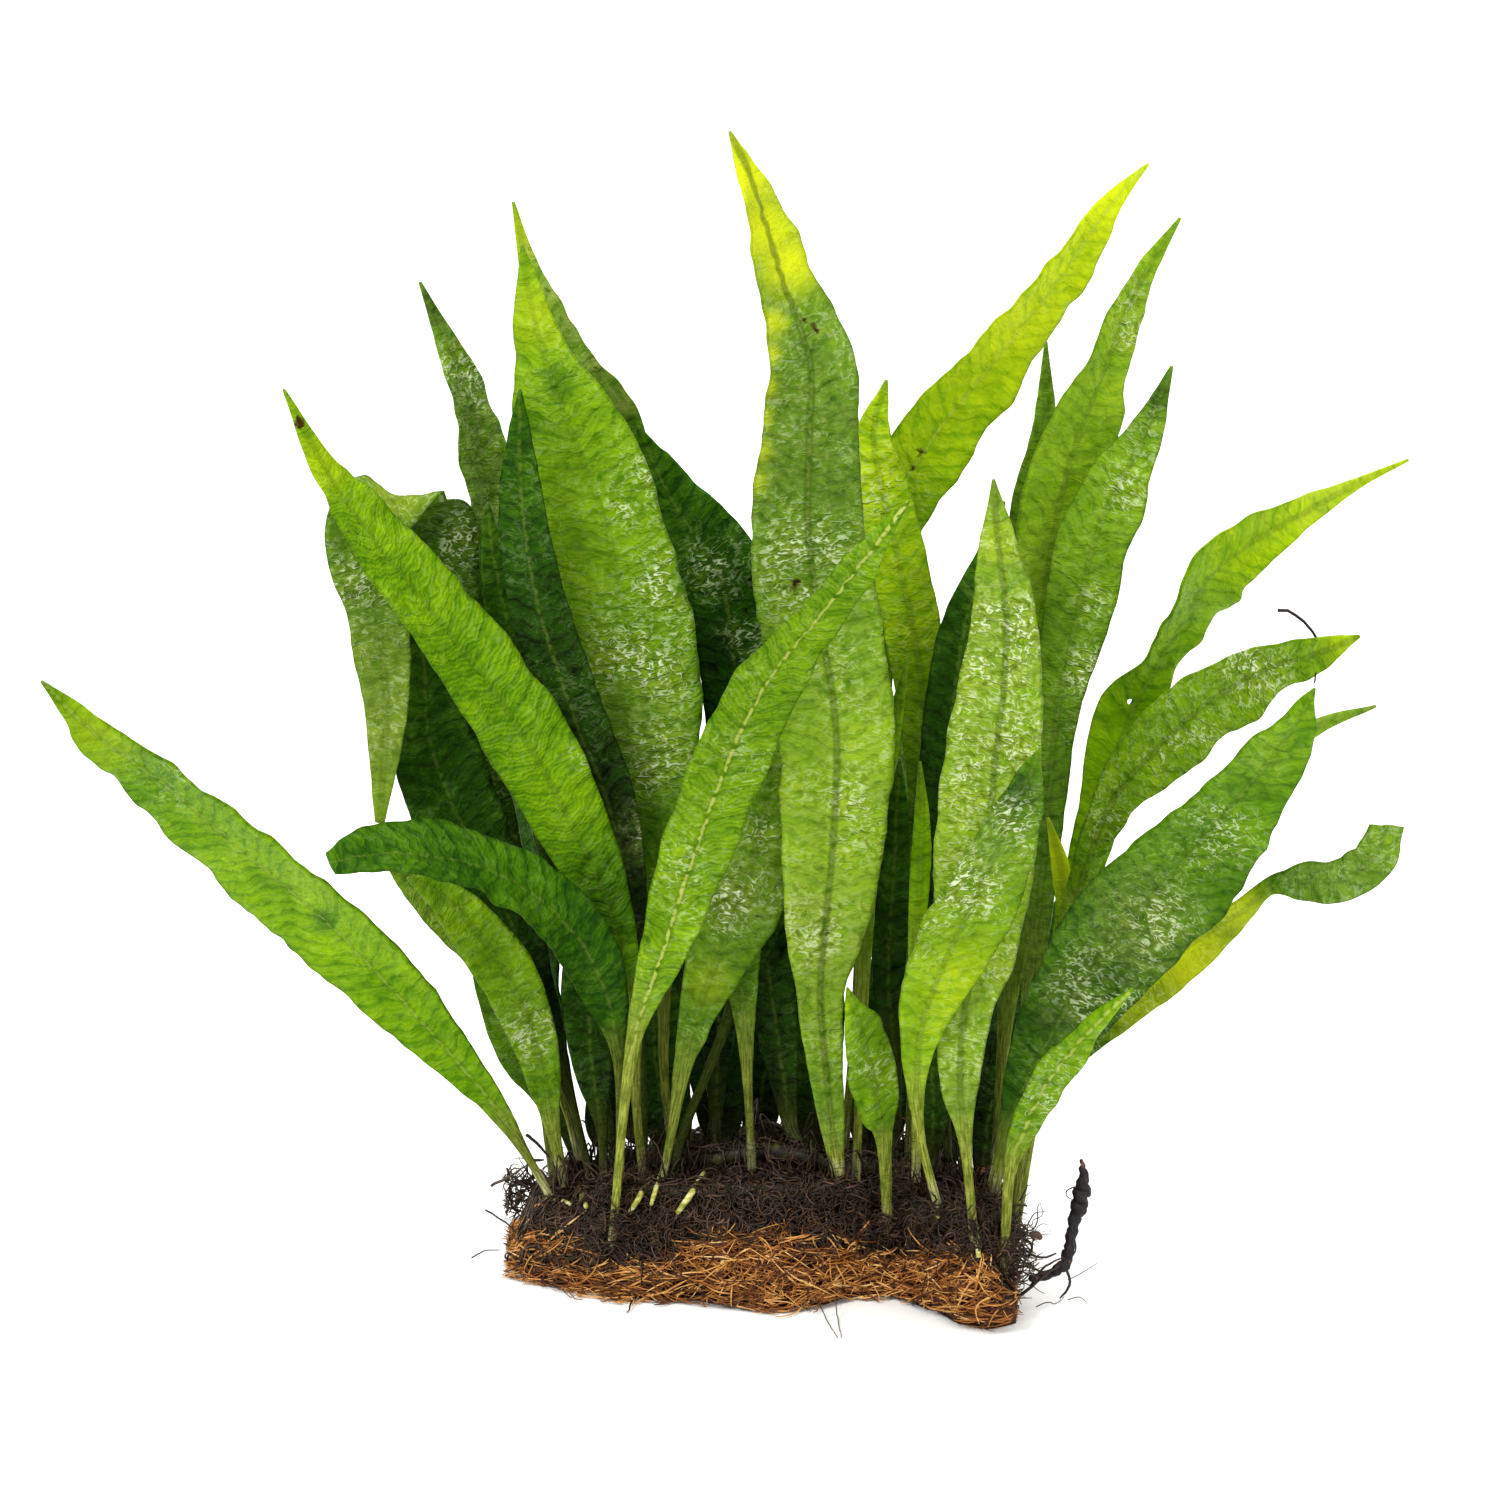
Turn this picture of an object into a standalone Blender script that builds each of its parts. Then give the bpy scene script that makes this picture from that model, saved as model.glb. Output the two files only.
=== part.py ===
"""A java fern on a coir mat: a clump of strap-shaped fronds that rise from creeping stems,
on a dark cushion of roots, on a thin pad of coconut fibre.

The plant stands on the ground at z = 0, with its front towards -Y. Sizes are in millimetres
in the tables below and are turned into metres when a mesh is made.
"""

import math

import bmesh
import bpy
from mathutils import Matrix, Vector
from mathutils.bvhtree import BVHTree

MM = 0.001

# The coir mat
MAT_LEFT = -66.0
MAT_RIGHT = 64.0
MAT_FRONT = ((-66, 5), (-58, -3), (-50, -8), (-40, -13), (-30, -15.5), (-20, -16.5), (-10, -20.5),
             (2, -23), (12, -21.5), (25, -13.5), (34, -14), (42, -24), (50, -35), (57, -39),
             (64, -39))
MAT_BACK = ((-66, 26), (-56, 36), (-40, 43), (-20, 45), (0, 42), (18, 45), (34, 42),
            (48, 36), (58, 26), (64, 8))
MAT_HEIGHT = ((-66, 9), (-45, 10), (-25, 13), (0, 15), (25, 14), (45, 14), (64, 12))
MAT_CELLS = (22, 8)

# The cushion of roots on top of the mat
ROOT_HEIGHT = ((-66, 6), (-50, 8), (-35, 11), (-15, 14), (5, 13), (25, 12), (45, 10), (64, 6))

# The fronds
STALK = 2.3
BLADE = 0.75
MOST_CELLS = 14
GAP = 0.35

# The front view: looking down by TILT from REACH away, at the point AIM
TILT = math.radians(15)
REACH = 1400.0
AIM = Vector((-3.5, 0, 140))

COLOURS = {
    "bright": (0.21, 0.43, 0.012),
    "mid": (0.11, 0.30, 0.010),
    "dark": (0.035, 0.11, 0.008),
    "pale": (0.36, 0.48, 0.11),
    "coir": (0.40, 0.14, 0.022),
    "root": (0.012, 0.008, 0.006),
    "stem": (0.06, 0.045, 0.018),
}

# Each frond: name, colour, (across, depth) of its foot, depth of its tip, fold of the blade
# in degrees, turn of the blade about its midrib from foot to tip in degrees, and the points
# of its midrib as (across, up, width) in the front view. A fourth number moves a point back.
FRONDS = (
    # Left side, from the front to the back
    ("frond_01", "bright", (-53, 9), -22, 8, (0, -15, -50, -55, -40),
     ((-59.5, 39, 2.4), (-67.7, 51.6, 6.5), (-81.9, 68.4, 13.5), (-99.8, 88, 20.5),
      (-111.5, 99.5, 20.5), (-127, 112.3, 18.5), (-149, 131, 14.5), (-165.5, 143, 9.5),
      (-180.5, 157, 0.8))),
    ("frond_02", "bright", (-30, 2), -16, 10, (0, 5, 15, 50, 55),
     ((-32, 52, 2.4), (-33, 75, 5), (-38, 98, 11), (-46, 117, 17), (-60, 143, 21),
      (-78, 168, 18), (-96, 190, 14), (-108.8, 208, 7), (-120, 230, 0.8))),
    ("frond_24", "dark", (-36, -4), -44, 10, (0, 15, 55, 55),
     ((-36, 56, 2.4), (-37, 68, 5), (-40, 80, 12), (-46, 92, 15), (-57, 103, 14), (-70, 110, 13),
      (-86.4, 113.6, 13.5), (-98, 113.5, 10.5), (-108.4, 111.5, 5.5))),
    ("frond_25", "bright", (-49.5, 13), -6, 8, (0, 5, 20),
     ((-53, 46, 4), (-55.5, 60, 9.5), (-61.3, 78, 14), (-70, 92, 14), (-80, 103, 9),
      (-89, 108, 0.8))),
    ("frond_26", "mid", (-52.5, 18), 12, 8, (0, -15, -15),
     ((-53.5, 42, 3), (-55.2, 52, 4), (-61.8, 64.4, 10), (-66.3, 78, 10), (-70, 87, 7),
      (-73, 96, 0.8))),
    ("frond_25b", "pale", (-46, 24), 14, 8, (0, 15, 15),
     ((-50, 52, 2.4), (-57, 72, 8), (-69, 91, 15), (-81, 102, 13), (-88, 107, 8), (-94, 111, 0.8))),
    ("frond_27", "dark", (-40, 8), 6, 8, (0, 15, 0),
     ((-40.5, 45, 3), (-43, 60, 9), (-44, 75, 13), (-45, 90, 11), (-48, 105, 5), (-50, 112, 0.8))),
    ("frond_28", "dark", (-43, 14), 22, 10, (0, 15, 30),
     ((-48, 52, 2.4), (-56, 78, 9), (-66, 103, 16), (-77, 124, 22), (-84, 144, 20),
      (-85, 160, 12), (-87, 176, 0.8))),
    ("frond_05b", "mid", (-30, 7), 3, 8, (0, -15, -15),
     ((-30.5, 60, 2.4), (-32, 85, 5), (-35, 110, 11), (-40, 130, 15), (-48, 150, 16),
      (-56, 175, 15), (-60, 198, 12), (-61, 216, 7), (-61, 230, 0.8))),
    ("frond_29", "dark", (-37, 18), 24, 8, (0, 15, 15),
     ((-41, 62, 2.4), (-46, 92, 6), (-53, 125, 11), (-60, 152, 12), (-65, 175, 10),
      (-68, 190, 6), (-69, 202, 0.8))),
    ("frond_03", "mid", (-45, 29), 20, 6, (0,),
     ((-51, 58, 2.4, 0), (-60, 88, 10, 1), (-70, 120, 18, 3), (-79, 150, 24, 5),
      (-84, 178, 27, 6), (-86, 198, 27.5, 4), (-90.5, 203, 22.5, -4), (-99.6, 195, 20.5, -10),
      (-96.5, 174, 16, -13), (-94.5, 150, 11, -13), (-96, 122, 2.5, -12))),
    ("frond_04", "mid", (-40, 32), 52, 8, (0, 5, 15, 50, 55),
     ((-45, 75, 2.4), (-52, 110, 7), (-59, 150, 13), (-65.5, 185, 14), (-70, 210, 11),
      (-75.5, 232, 8), (-86, 257, 0.8))),
    ("frond_06", "bright", (-23, 11), 19, 9, (0, -5, -10, -25, -50),
     ((-25, 60, 2.4), (-25, 90, 5), (-26, 115, 12), (-28, 135, 22), (-30, 152, 30),
      (-34, 172, 33), (-40, 198, 30), (-47, 217, 29), (-54.5, 238, 15), (-58, 252, 8),
      (-60.5, 266, 0.8))),
    ("frond_05", "pale", (-19, 24), 62, 8, (0, -5, -15, -40, -50),
     ((-21.5, 62, 6), (-23, 95, 9), (-28, 140, 12), (-34, 188, 16), (-39.3, 218, 21),
      (-46.3, 233, 14), (-53, 247, 9.5), (-59, 262, 4.5), (-62.7, 277, 0.8))),
    ("frond_07", "dark", (-12, 20), 34, 8, (0, 5, 15, 35),
     ((-12, 52, 4), (-11, 78, 10), (-9, 105, 12), (-7, 135, 14), (-7.5, 160, 18),
      (-11.3, 183.5, 22), (-21.7, 200, 16.5), (-27.5, 211, 9), (-31.5, 221, 0.8))),

    # Middle, from the front to the back
    ("frond_09", "bright", (-38, -9), -40, 8, (0, 20, 40, 50),
     ((-35, 50, 2.4), (-32, 70, 4.5), (-26, 88, 11), (-20, 107, 16), (-12, 130, 18),
      (-4, 149, 17), (4, 162, 14), (14, 174, 10), (25, 188, 7), (36, 202, 0.8))),
    ("frond_34", "bright", (31, -9), -34, 8, (0, 30, 40),
     ((30, 42, 4), (28.5, 50, 10), (26.5, 60, 12), (24, 70, 9), (21, 80, 0.8))),
    ("frond_31", "mid", (-26, -3), -4, 8, (0, 15, 15),
     ((-23, 45, 2.4), (-20, 62, 5), (-15.5, 78, 11), (-10, 92, 18), (-5, 106, 21), (0, 125, 18),
      (2, 145, 12), (3, 163, 0.8))),
    ("frond_32", "mid", (-3, 0), 9, 8, (0, -15, -15),
     ((-4, 55, 2.4), (-5, 75, 6), (-7, 95, 14), (-9, 115, 16), (-9, 138, 11), (-8, 158, 0.8))),
    ("frond_08", "bright", (19, -8), -20, 9, (0, 5, -5, 5, 40, 65),
     ((16, 55, 8), (14, 78, 12), (15.5, 98, 21), (17.5, 120, 26), (18, 146, 29), (14, 172, 30),
      (11, 195, 28), (11.3, 220, 23.5), (11.3, 237, 21), (4.8, 256, 14.5), (0.2, 271, 10),
      (-4.1, 284, 5.5), (-8.5, 294.5, 0.8))),
    ("frond_33", "dark", (-23, 3), 19, 8, (0, 15, 15),
     ((-20, 45, 2.4), (-10, 70, 3), (-2, 92, 8), (6, 115, 13), (10, 138, 12), (12, 165, 0.8))),
    ("frond_42", "dark", (9, 8), 21, 8, (0, -15),
     ((6.5, 47, 4), (3.5, 68, 10), (0.5, 90, 13), (-2, 112, 12), (-3, 130, 8), (-4, 146, 0.8))),
    ("frond_13", "pale", (23, -1), 0, 6, (0,),
     ((24, 60, 2.4), (25, 90, 4), (27, 118, 5), (31, 140, 5), (36, 163, 0.8))),
    ("frond_10", "bright", (20, 20), 46, 9, (0, 5, 30, 55, 55),
     ((23, 75, 2.4), (25, 110, 4), (27, 145, 8), (28, 175, 12), (31, 198, 17.5),
      (41, 216.5, 19.5), (53, 232, 16), (64.6, 246.5, 12.5), (74.6, 259.5, 10.5),
      (86.2, 276, 5.5), (96, 286.5, 0.8))),
    ("frond_12", "mid", (36, 13), 26, 8, (0, -5, -15, -30),
     ((37.5, 72, 2.4), (39.5, 105, 6), (41, 135, 11), (39, 160, 14), (34.5, 184, 14),
      (29.5, 206, 13.5), (27.6, 219, 8.5), (30.6, 232.5, 0.8))),
    ("frond_35", "dark", (33, 24), 30, 8, (0, 15),
     ((33, 60, 3), (31, 82, 8), (32, 105, 10), (33, 122, 7), (34, 138, 0.8))),
    ("frond_35b", "bright", (38, -4), -5, 6, (0,),
     ((38, 60, 2.4), (38, 90, 4), (39, 108, 5), (39.5, 122, 4), (39, 137, 0.8))),
    ("frond_43", "dark", (41, 2), 3, 8, (0, 15),
     ((42, 42, 5), (42.3, 52, 9), (42, 61, 8), (43, 70, 0.8))),
    ("frond_36", "dark", (46, 8), 10, 8, (0, 15),
     ((45, 65, 2.4), (44, 92, 6), (44.5, 120, 12), (47, 150, 14.5), (50.3, 172, 11.5),
      (55.7, 188, 6), (60, 202, 0.8))),

    # Right side, from the front to the back
    ("frond_23", "bright", (60, -28), -56, 8, (0, 30, 55),
     ((61.4, 34, 3), (65, 45, 7), (70, 56, 9), (76, 64, 8), (83, 72, 5), (92, 80, 0.8))),
    ("frond_15", "bright", (44, -23), -60, 9, (0, 20, 40, 40),
     ((39, 44, 2.4), (38, 60, 6), (40, 74, 13), (44.5, 86, 18), (50, 98, 20), (57, 113, 17),
      (63, 127, 11), (69, 140, 0.8))),
    ("frond_14", "pale", (53, -28), -27, 9, (0, -15, -30, -30),
     ((50.5, 40, 3), (49, 58, 10), (50.5, 76, 14), (53.5, 92, 20), (55.5, 110, 24),
      (57.5, 132, 24), (60, 155, 20), (60.8, 172, 15.5), (59, 190, 9.5), (57.4, 207.5, 0.8))),
    ("frond_21", "dark", (57, -20), -58, 9, (0, 15, 35, 35),
     ((61, 46, 5), (68, 62, 15), (78, 79, 24), (90.6, 96.6, 30), (105.2, 112.6, 28.5),
      (118.5, 128.3, 20), (129.6, 142, 13.5), (137.5, 155, 0.8))),
    ("frond_22", "bright", (61, -14), -34, 7, (0, 10, 20, 60, 35, 30),
     ((66, 46, 2.4), (75, 61, 5), (92, 79, 13), (105, 90.5, 14), (118.4, 99.2, 6.8),
      (126, 105.7, 4.2), (134, 107.5, 9), (144.4, 107.8, 10.5), (152, 113, 11), (155.6, 121.2, 9))),
    ("frond_20b", "pale", (62, -7), -14, 5, (0, 15),
     ((70, 58, 2.4), (83, 84, 3), (99, 109, 4), (119, 130, 4.5), (137, 145, 4), (153, 151, 0.8))),
    ("frond_20", "mid", (61, -1), 0, 8, (0, 15, 40, 50),
     ((66, 60, 2.4), (72, 82, 5), (78.5, 104.5, 6.5), (86.3, 126, 10.5), (98.5, 141, 18.5),
      (111.5, 152.5, 18.5), (125.5, 160.5, 13.5), (138.5, 164.5, 8), (149, 168.5, 0.8))),
    ("frond_38", "bright", (57, 4), 6, 6, (0,),
     ((62, 55, 2.4), (70, 78, 3), (75, 98, 4.5), (74, 111, 4.5), (71, 123, 0.8))),
    ("frond_19", "bright", (60, 8), 34, 8, (0, 10, 10, 65, 30, 20),
     ((68, 60, 2.4), (73, 80, 4), (78, 102, 8.5), (83.8, 124, 11.5), (91, 147.5, 18), (98, 161, 10),
      (103.5, 171, 9.5), (110.7, 183, 16), (120.6, 191.2, 14), (133, 198.5, 8.5),
      (148, 206.5, 3), (161, 212.5, 0.8))),
    ("frond_17", "mid", (57, 17), 36, 8, (0, -15, -15, -40),
     ((64, 65, 2.4), (68, 92, 6), (71, 125, 8.5), (73.6, 150, 11), (78.5, 174, 17),
      (83, 193, 18), (89, 206.5, 16), (95.5, 219, 8.5), (102, 236, 0.8))),
    ("frond_39", "dark", (54, 28), 34, 8, (0, 15),
     ((56.5, 50, 9), (62.5, 66, 10), (68, 82, 11), (73.5, 97, 7), (78, 110, 0.8))),
    ("frond_16", "bright", (57, 22), 52, 9, (0, 5, 15, 40, 50),
     ((59.5, 62, 3), (62, 90, 7), (65, 120, 9), (67, 145, 12), (69, 170, 18), (73, 198, 21),
      (77.5, 216, 19.5), (85.2, 236, 11.5), (93.2, 256, 6.5), (104, 273, 0.8))),
    ("frond_18", "mid", (49, 30), 66, 6, (0,),
     ((55, 90, 2.4), (60, 130, 5), (64, 170, 8), (65.7, 200, 8.5), (70, 219, 6.5),
      (70.5, 242, 0.8))),

    # Back of the clump
    ("frond_44", "mid", (-30, 34), 104, 9, (0, 35, 50),
     ((-32, 46, 8), (-32, 60, 11), (-33, 92, 13), (-37, 130, 17), (-39, 155, 18), (-40, 178, 9),
      (-41, 192, 0.8))),
    ("frond_45", "dark", (0, 36), 112, 9, (0, -35, -50),
     ((-1, 46, 8), (0.5, 60, 12), (7, 95, 15), (9, 135, 19), (10, 168, 20), (10, 190, 11),
      (10, 206, 0.8))),
    ("frond_46", "mid", (28, 34), 98, 9, (0, 40, 50),
     ((25, 46, 8), (27, 62, 12), (33, 88, 13), (37, 120, 16), (40, 145, 17), (40, 165, 9),
      (39, 180, 0.8))),
    ("frond_47", "dark", (44, 31), 92, 9, (0, 40, 55),
     ((47.5, 44, 7), (50.5, 58, 10), (55, 80, 13), (60, 112, 18), (63, 138, 17), (64, 160, 9),
      (64, 176, 0.8))),
    ("frond_48", "dark", (-44, 35), 90, 9, (0, -40, -55),
     ((-50, 48, 5), (-53, 62, 9), (-56, 84, 12), (-59, 108, 16), (-63, 130, 16), (-66, 148, 9),
      (-68, 162, 0.8))),

    # Young fronds low down between the stalks
    ("frond_49", "dark", (-25, 20), 23, 8, (0, 15),
     ((-23.8, 46, 12), (-27, 62, 14), (-28, 80, 13), (-29, 98, 0.8))),
    ("frond_50", "dark", (-10, 27), 40, 8, (0, -15),
     ((-11, 47, 11), (-12, 63, 14), (-15, 82, 12), (-16, 100, 0.8))),
    ("frond_51", "dark", (12, 24), 34, 8, (0, 15),
     ((12, 45, 8), (13, 62, 13), (14, 82, 12), (15, 98, 0.8))),
    ("frond_52", "dark", (25, 27), 38, 8, (0, -15),
     ((29.5, 44, 10), (31, 62, 12), (30, 80, 10), (29, 94, 0.8))),
    ("frond_53", "dark", (-37, 27), 32, 8, (0, 15),
     ((-39.6, 46, 10.5), (-38, 62, 10), (-39, 80, 8), (-40, 92, 0.8))),
)

# The creeping stems, as (x, y) points that they pass over
STEMS = (
    ("rhizome_front", ((-46, 3), (-34, -5), (-20, -9), (-4, -12), (11, -13), (25, -9))),
    ("rhizome_right", ((38, -14), (45, -22), (54, -22), (58, -10), (60, 6), (57, 17))),
    ("rhizome_middle", ((-28, 12), (-14, 8), (4, 6), (20, 5), (34, 8), (46, 10))),
    ("rhizome_back", ((-50, 24), (-36, 30), (-16, 31), (6, 33), (26, 31), (44, 28))),
)
STEM_RADIUS = 2.4

# The stray root at the right end, as (across, up, depth) points in the front view
STRAY_ROOT = ((66.5, 8, -26), (71, 8.5, -25), (75.3, 12, -24), (77, 20, -23), (78.8, 27, -22),
              (79.9, 33, -22), (79.1, 37.5, -22))
STRAY_RADIUS = 1.1


def material(name, colour, roughness):
    """A plain Principled material."""
    made = bpy.data.materials.new(name)
    made.use_nodes = True
    shader = made.node_tree.nodes["Principled BSDF"]
    shader.inputs["Base Color"].default_value = (*colour, 1)
    shader.inputs["Roughness"].default_value = roughness
    shader.inputs["Metallic"].default_value = 0
    return made


def between(table, x):
    """The value of a table of (x, value) pairs at x, joined by smooth curves."""
    for (x0, value0), (x1, value1) in zip(table, table[1:]):
        if x <= x1:
            break
    part = min(max((x - x0) / (x1 - x0), 0), 1)
    return value0 + (value1 - value0) * part * part * (3 - 2 * part)


def spline(values, t):
    """A Catmull-Rom curve through evenly spaced values (numbers or vectors), at t in 0..1."""
    last = len(values) - 1
    if last == 0:
        return values[0]
    step = min(int(t * last), last - 1)
    f = t * last - step
    b, c = values[step], values[step + 1]
    a = values[step - 1] if step > 0 else b + (b - c)
    d = values[step + 2] if step + 2 <= last else c + (c - b)
    return 0.5 * (2 * b + (c - a) * f + (2 * a - 5 * b + 4 * c - d) * f * f
                  + (3 * b - a - 3 * c + d) * f * f * f)


def seen_at(across, up, depth):
    """The point in space, in mm, that the front view shows at (across, up) at this depth y."""
    u = across - AIM.x
    v = up - AIM.z
    sin, cos = math.sin(TILT), math.cos(TILT)
    z = (v * (REACH + depth * cos) / REACH - depth * sin) / (cos + v * sin / REACH)
    away = REACH + depth * cos - z * sin
    return Vector((AIM.x + u * away / REACH, depth, AIM.z + z))


def mat_height(x, y):
    """Height of the mat's top away from its edges."""
    return between(MAT_HEIGHT, x) + 0.7 * math.sin(x / 9 + y / 14)


def root_height(x, y):
    """Height of the root cushion's top away from its edges."""
    front, back = between(MAT_FRONT, x), between(MAT_BACK, x)
    middle = (front + back) / 2 - 4
    dome = 1 - 0.55 * ((y - middle) / ((back - front) / 2)) ** 2
    lumps = 0.9 * math.sin(x / 5.5 + 1) * math.cos(y / 6) + 0.6 * math.sin(y / 4 - x / 8)
    return mat_height(x, y) + between(ROOT_HEIGHT, x) * max(dome, 0.4) + lumps


def pad_point(s, q):
    """A point of the mat's outline grid: s runs left to right, q front to back, both 0..1."""
    reach = 1 - (2 * s - 1) ** 16 * 0.3
    x = MAT_LEFT + (MAT_RIGHT - MAT_LEFT) * s
    front, back = between(MAT_FRONT, x), between(MAT_BACK, x)
    middle = (front + back) / 2
    return x, middle + (back - front) / 2 * reach * (2 * q - 1)


def new_object(name, bm, colour, collection):
    """Closes off a bmesh in mm as an object in metres, smooth but for its sharp edges."""
    bmesh.ops.recalc_face_normals(bm, faces=bm.faces)
    bmesh.ops.scale(bm, vec=(MM, MM, MM), verts=bm.verts)
    mesh = bpy.data.meshes.new(name)
    bm.to_mesh(mesh)
    bm.free()
    mesh.materials.append(colour)
    mesh.shade_smooth()
    mesh.set_sharp_from_angle(angle=math.radians(50))
    made = bpy.data.objects.new(name, mesh)
    collection.objects.link(made)
    return made


def pad(name, inner, bottom, top, colour, collection):
    """A closed pad on the mat's outline grid, left out by this many cells all round. The
    functions bottom(x, y, edge) and top(x, y, edge) give heights, and edge counts cells from
    the pad's own rim."""
    across, deep = MAT_CELLS
    wide, long = across - 2 * inner, deep - 2 * inner
    bm = bmesh.new()
    bmesh.ops.create_grid(bm, x_segments=wide, y_segments=long, size=0.5)
    raised = bmesh.ops.extrude_face_region(bm, geom=bm.faces[:], use_keep_orig=True)
    upper = {item for item in raised["geom"] if isinstance(item, bmesh.types.BMVert)}
    for vert in bm.verts:
        i = round((vert.co.x + 0.5) * wide)
        j = round((vert.co.y + 0.5) * long)
        edge = min(i, j, wide - i, long - j)
        x, y = pad_point((i + inner) / across, (j + inner) / deep)
        height = top if vert in upper else bottom
        vert.co = (x, y, height(x, y, edge))
    under = [face for face in bm.faces if max(vert.co.z for vert in face.verts) < 1e-6]
    bmesh.ops.dissolve_faces(bm, faces=under)
    return new_object(name, bm, colour, collection)


def mat_top(x, y, edge):
    """The mat's top, let down at its rim."""
    return mat_height(x, y) * (0.62 if edge == 0 else 1)


def root_top(x, y, edge):
    """The root cushion's top, let down to a lip at its rim."""
    if edge == 0:
        return mat_height(x, y) + 2.5
    return root_height(x, y)


def tube(name, points, radius, colour, collection):
    """A closed tube along points in mm."""
    curve = bpy.data.curves.new(name, "CURVE")
    curve.dimensions = "3D"
    curve.bevel_depth = radius * MM
    curve.bevel_resolution = 1
    curve.use_fill_caps = True
    line = curve.splines.new("POLY")
    line.points.add(len(points) - 1)
    for point, place in zip(line.points, points):
        point.co = (*(place * MM), 1)
    curve.materials.append(colour)
    made = bpy.data.objects.new(name, curve)
    collection.objects.link(made)
    return made


def tree_of(made):
    """A search tree of an object's evaluated mesh, for finding the ground that it gives."""
    bpy.context.view_layer.update()
    return BVHTree.FromObject(made, bpy.context.evaluated_depsgraph_get())


def ground(trees, x, y, reach):
    """Height in mm of the highest surface within this reach of (x, y)."""
    heights = [0.0]
    for turn in range(8):
        for part in (0, 0.5, 1):
            dx = math.cos(turn * math.pi / 4) * reach * part
            dy = math.sin(turn * math.pi / 4) * reach * part
            for tree in trees:
                hit = tree.ray_cast(Vector(((x + dx) * MM, (y + dy) * MM, 1)), Vector((0, 0, -1)))
                if hit[0]:
                    heights.append(hit[0].z / MM)
    return max(heights)


def foot_of(trees, across, depth):
    """Where a frond seen at this place across, at this depth, stands on what carries it."""
    z = 30.0
    for _ in range(4):
        away = REACH + depth * math.cos(TILT) - (z - AIM.z) * math.sin(TILT)
        x = AIM.x + (across - AIM.x) * away / REACH
        z = ground(trees, x, depth, STALK * 0.8) + GAP
    return Vector((x, depth, z))


def frond(name, foot, rear, fold, turns, points, trees, colour, collection):
    """A frond: a grid two cells wide laid along its midrib, then made solid."""
    cells = min(len(points) + 5, MOST_CELLS)
    across, depth = foot
    base = foot_of(trees, across, depth)
    seen = [(across, base.z)] + [(point[0], point[1]) for point in points]
    steps = [0.0]
    for (u0, v0), (u1, v1) in zip(seen, seen[1:]):
        steps.append(steps[-1] + math.hypot(u1 - u0, v1 - v0))
    midrib = [base]
    for point, step in zip(points, steps[1:]):
        back = point[3] if len(point) > 3 else 0
        y = depth + (rear - depth) * (step / steps[-1]) ** 1.5 + back
        midrib.append(seen_at(point[0], point[1], y))
    widths = [STALK] + [point[2] for point in points]
    view = Vector((0, math.cos(TILT), -math.sin(TILT)))

    bm = bmesh.new()
    bmesh.ops.create_grid(bm, x_segments=2, y_segments=cells, size=0.5)
    stalk = bm.verts.layers.deform.verify()
    side = Vector((1, 0, 0))
    rows = {}
    for vert in bm.verts:
        rows.setdefault(round((vert.co.y + 0.5) * cells), []).append(vert)
    for row in range(cells + 1):
        t = row / cells
        middle = spline(midrib, t)
        ahead = (spline(midrib, min(t + 0.01, 1)) - spline(midrib, max(t - 0.01, 0))).normalized()
        across_view = ahead.cross(view)
        if len(points[0]) > 3:
            across_view = Vector((1, 0, 0)) - ahead * ahead.x
        if across_view.dot(side) < 0:
            across_view.negate()
        side = across_view.normalized()
        width = max(spline(widths, t), 0.6)
        is_blade = min(max((width - 2.6) / 5, 0), 1)
        turn = math.radians(spline(turns, t)) * is_blade
        lift = math.radians(fold) * is_blade
        out = Matrix.Rotation(turn, 3, ahead) @ side
        up = ahead.cross(out)
        if up.dot(view) > 0:
            up.negate()
        half = width / 2 / max(math.cos(turn), 0.45) / math.cos(lift)
        for vert in rows[row]:
            hand = round(vert.co.x * 2)
            vert[stalk][0] = 1 - is_blade
            vert.co = (middle + out * hand * half * math.cos(lift)
                       + up * abs(hand) * half * math.sin(lift))
    made = new_object(name, bm, colour, collection)
    made.vertex_groups.new(name="stalk")
    solid = made.modifiers.new("thickness", "SOLIDIFY")
    solid.thickness = STALK * MM
    solid.offset = 0
    solid.vertex_group = "stalk"
    solid.thickness_vertex_group = BLADE / STALK
    return made


for old in list(bpy.data.objects):
    bpy.data.objects.remove(old, do_unlink=True)

fern = bpy.data.collections.new("java_fern")
bpy.context.scene.collection.children.link(fern)
finish = {name: material(name, colour, 0.9 if name in ("coir", "root") else 0.35)
          for name, colour in COLOURS.items()}

# The mat and the root cushion share the outline grid, so their faces stay parallel
mat = pad("coir_mat", 0, lambda x, y, edge: 0, mat_top, finish["coir"], fern)
roots = pad("root_cushion", 1, lambda x, y, edge: mat_height(x, y) + GAP, root_top,
            finish["root"], fern)
carriers = [tree_of(mat), tree_of(roots)]

# The creeping stems lie on the cushion
for name, places in STEMS:
    route = []
    count = 14
    for k in range(count + 1):
        at = spline([Vector((x, y, 0)) for x, y in places], k / count)
        height = ground(carriers[:2], at.x, at.y, 5.0) + STEM_RADIUS + GAP
        route.append(Vector((at.x, at.y, height)))
    made = tube(name, route, STEM_RADIUS, finish["stem"], fern)
    carriers.append(tree_of(made))

stray = [seen_at(*place) for place in STRAY_ROOT]
tube("stray_root", [spline(stray, k / 12) for k in range(13)], STRAY_RADIUS, finish["root"], fern)

for name, colour, foot, rear, fold, turns, points in FRONDS:
    frond(name, foot, rear, fold, turns, points, carriers, finish[colour], fern)
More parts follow.
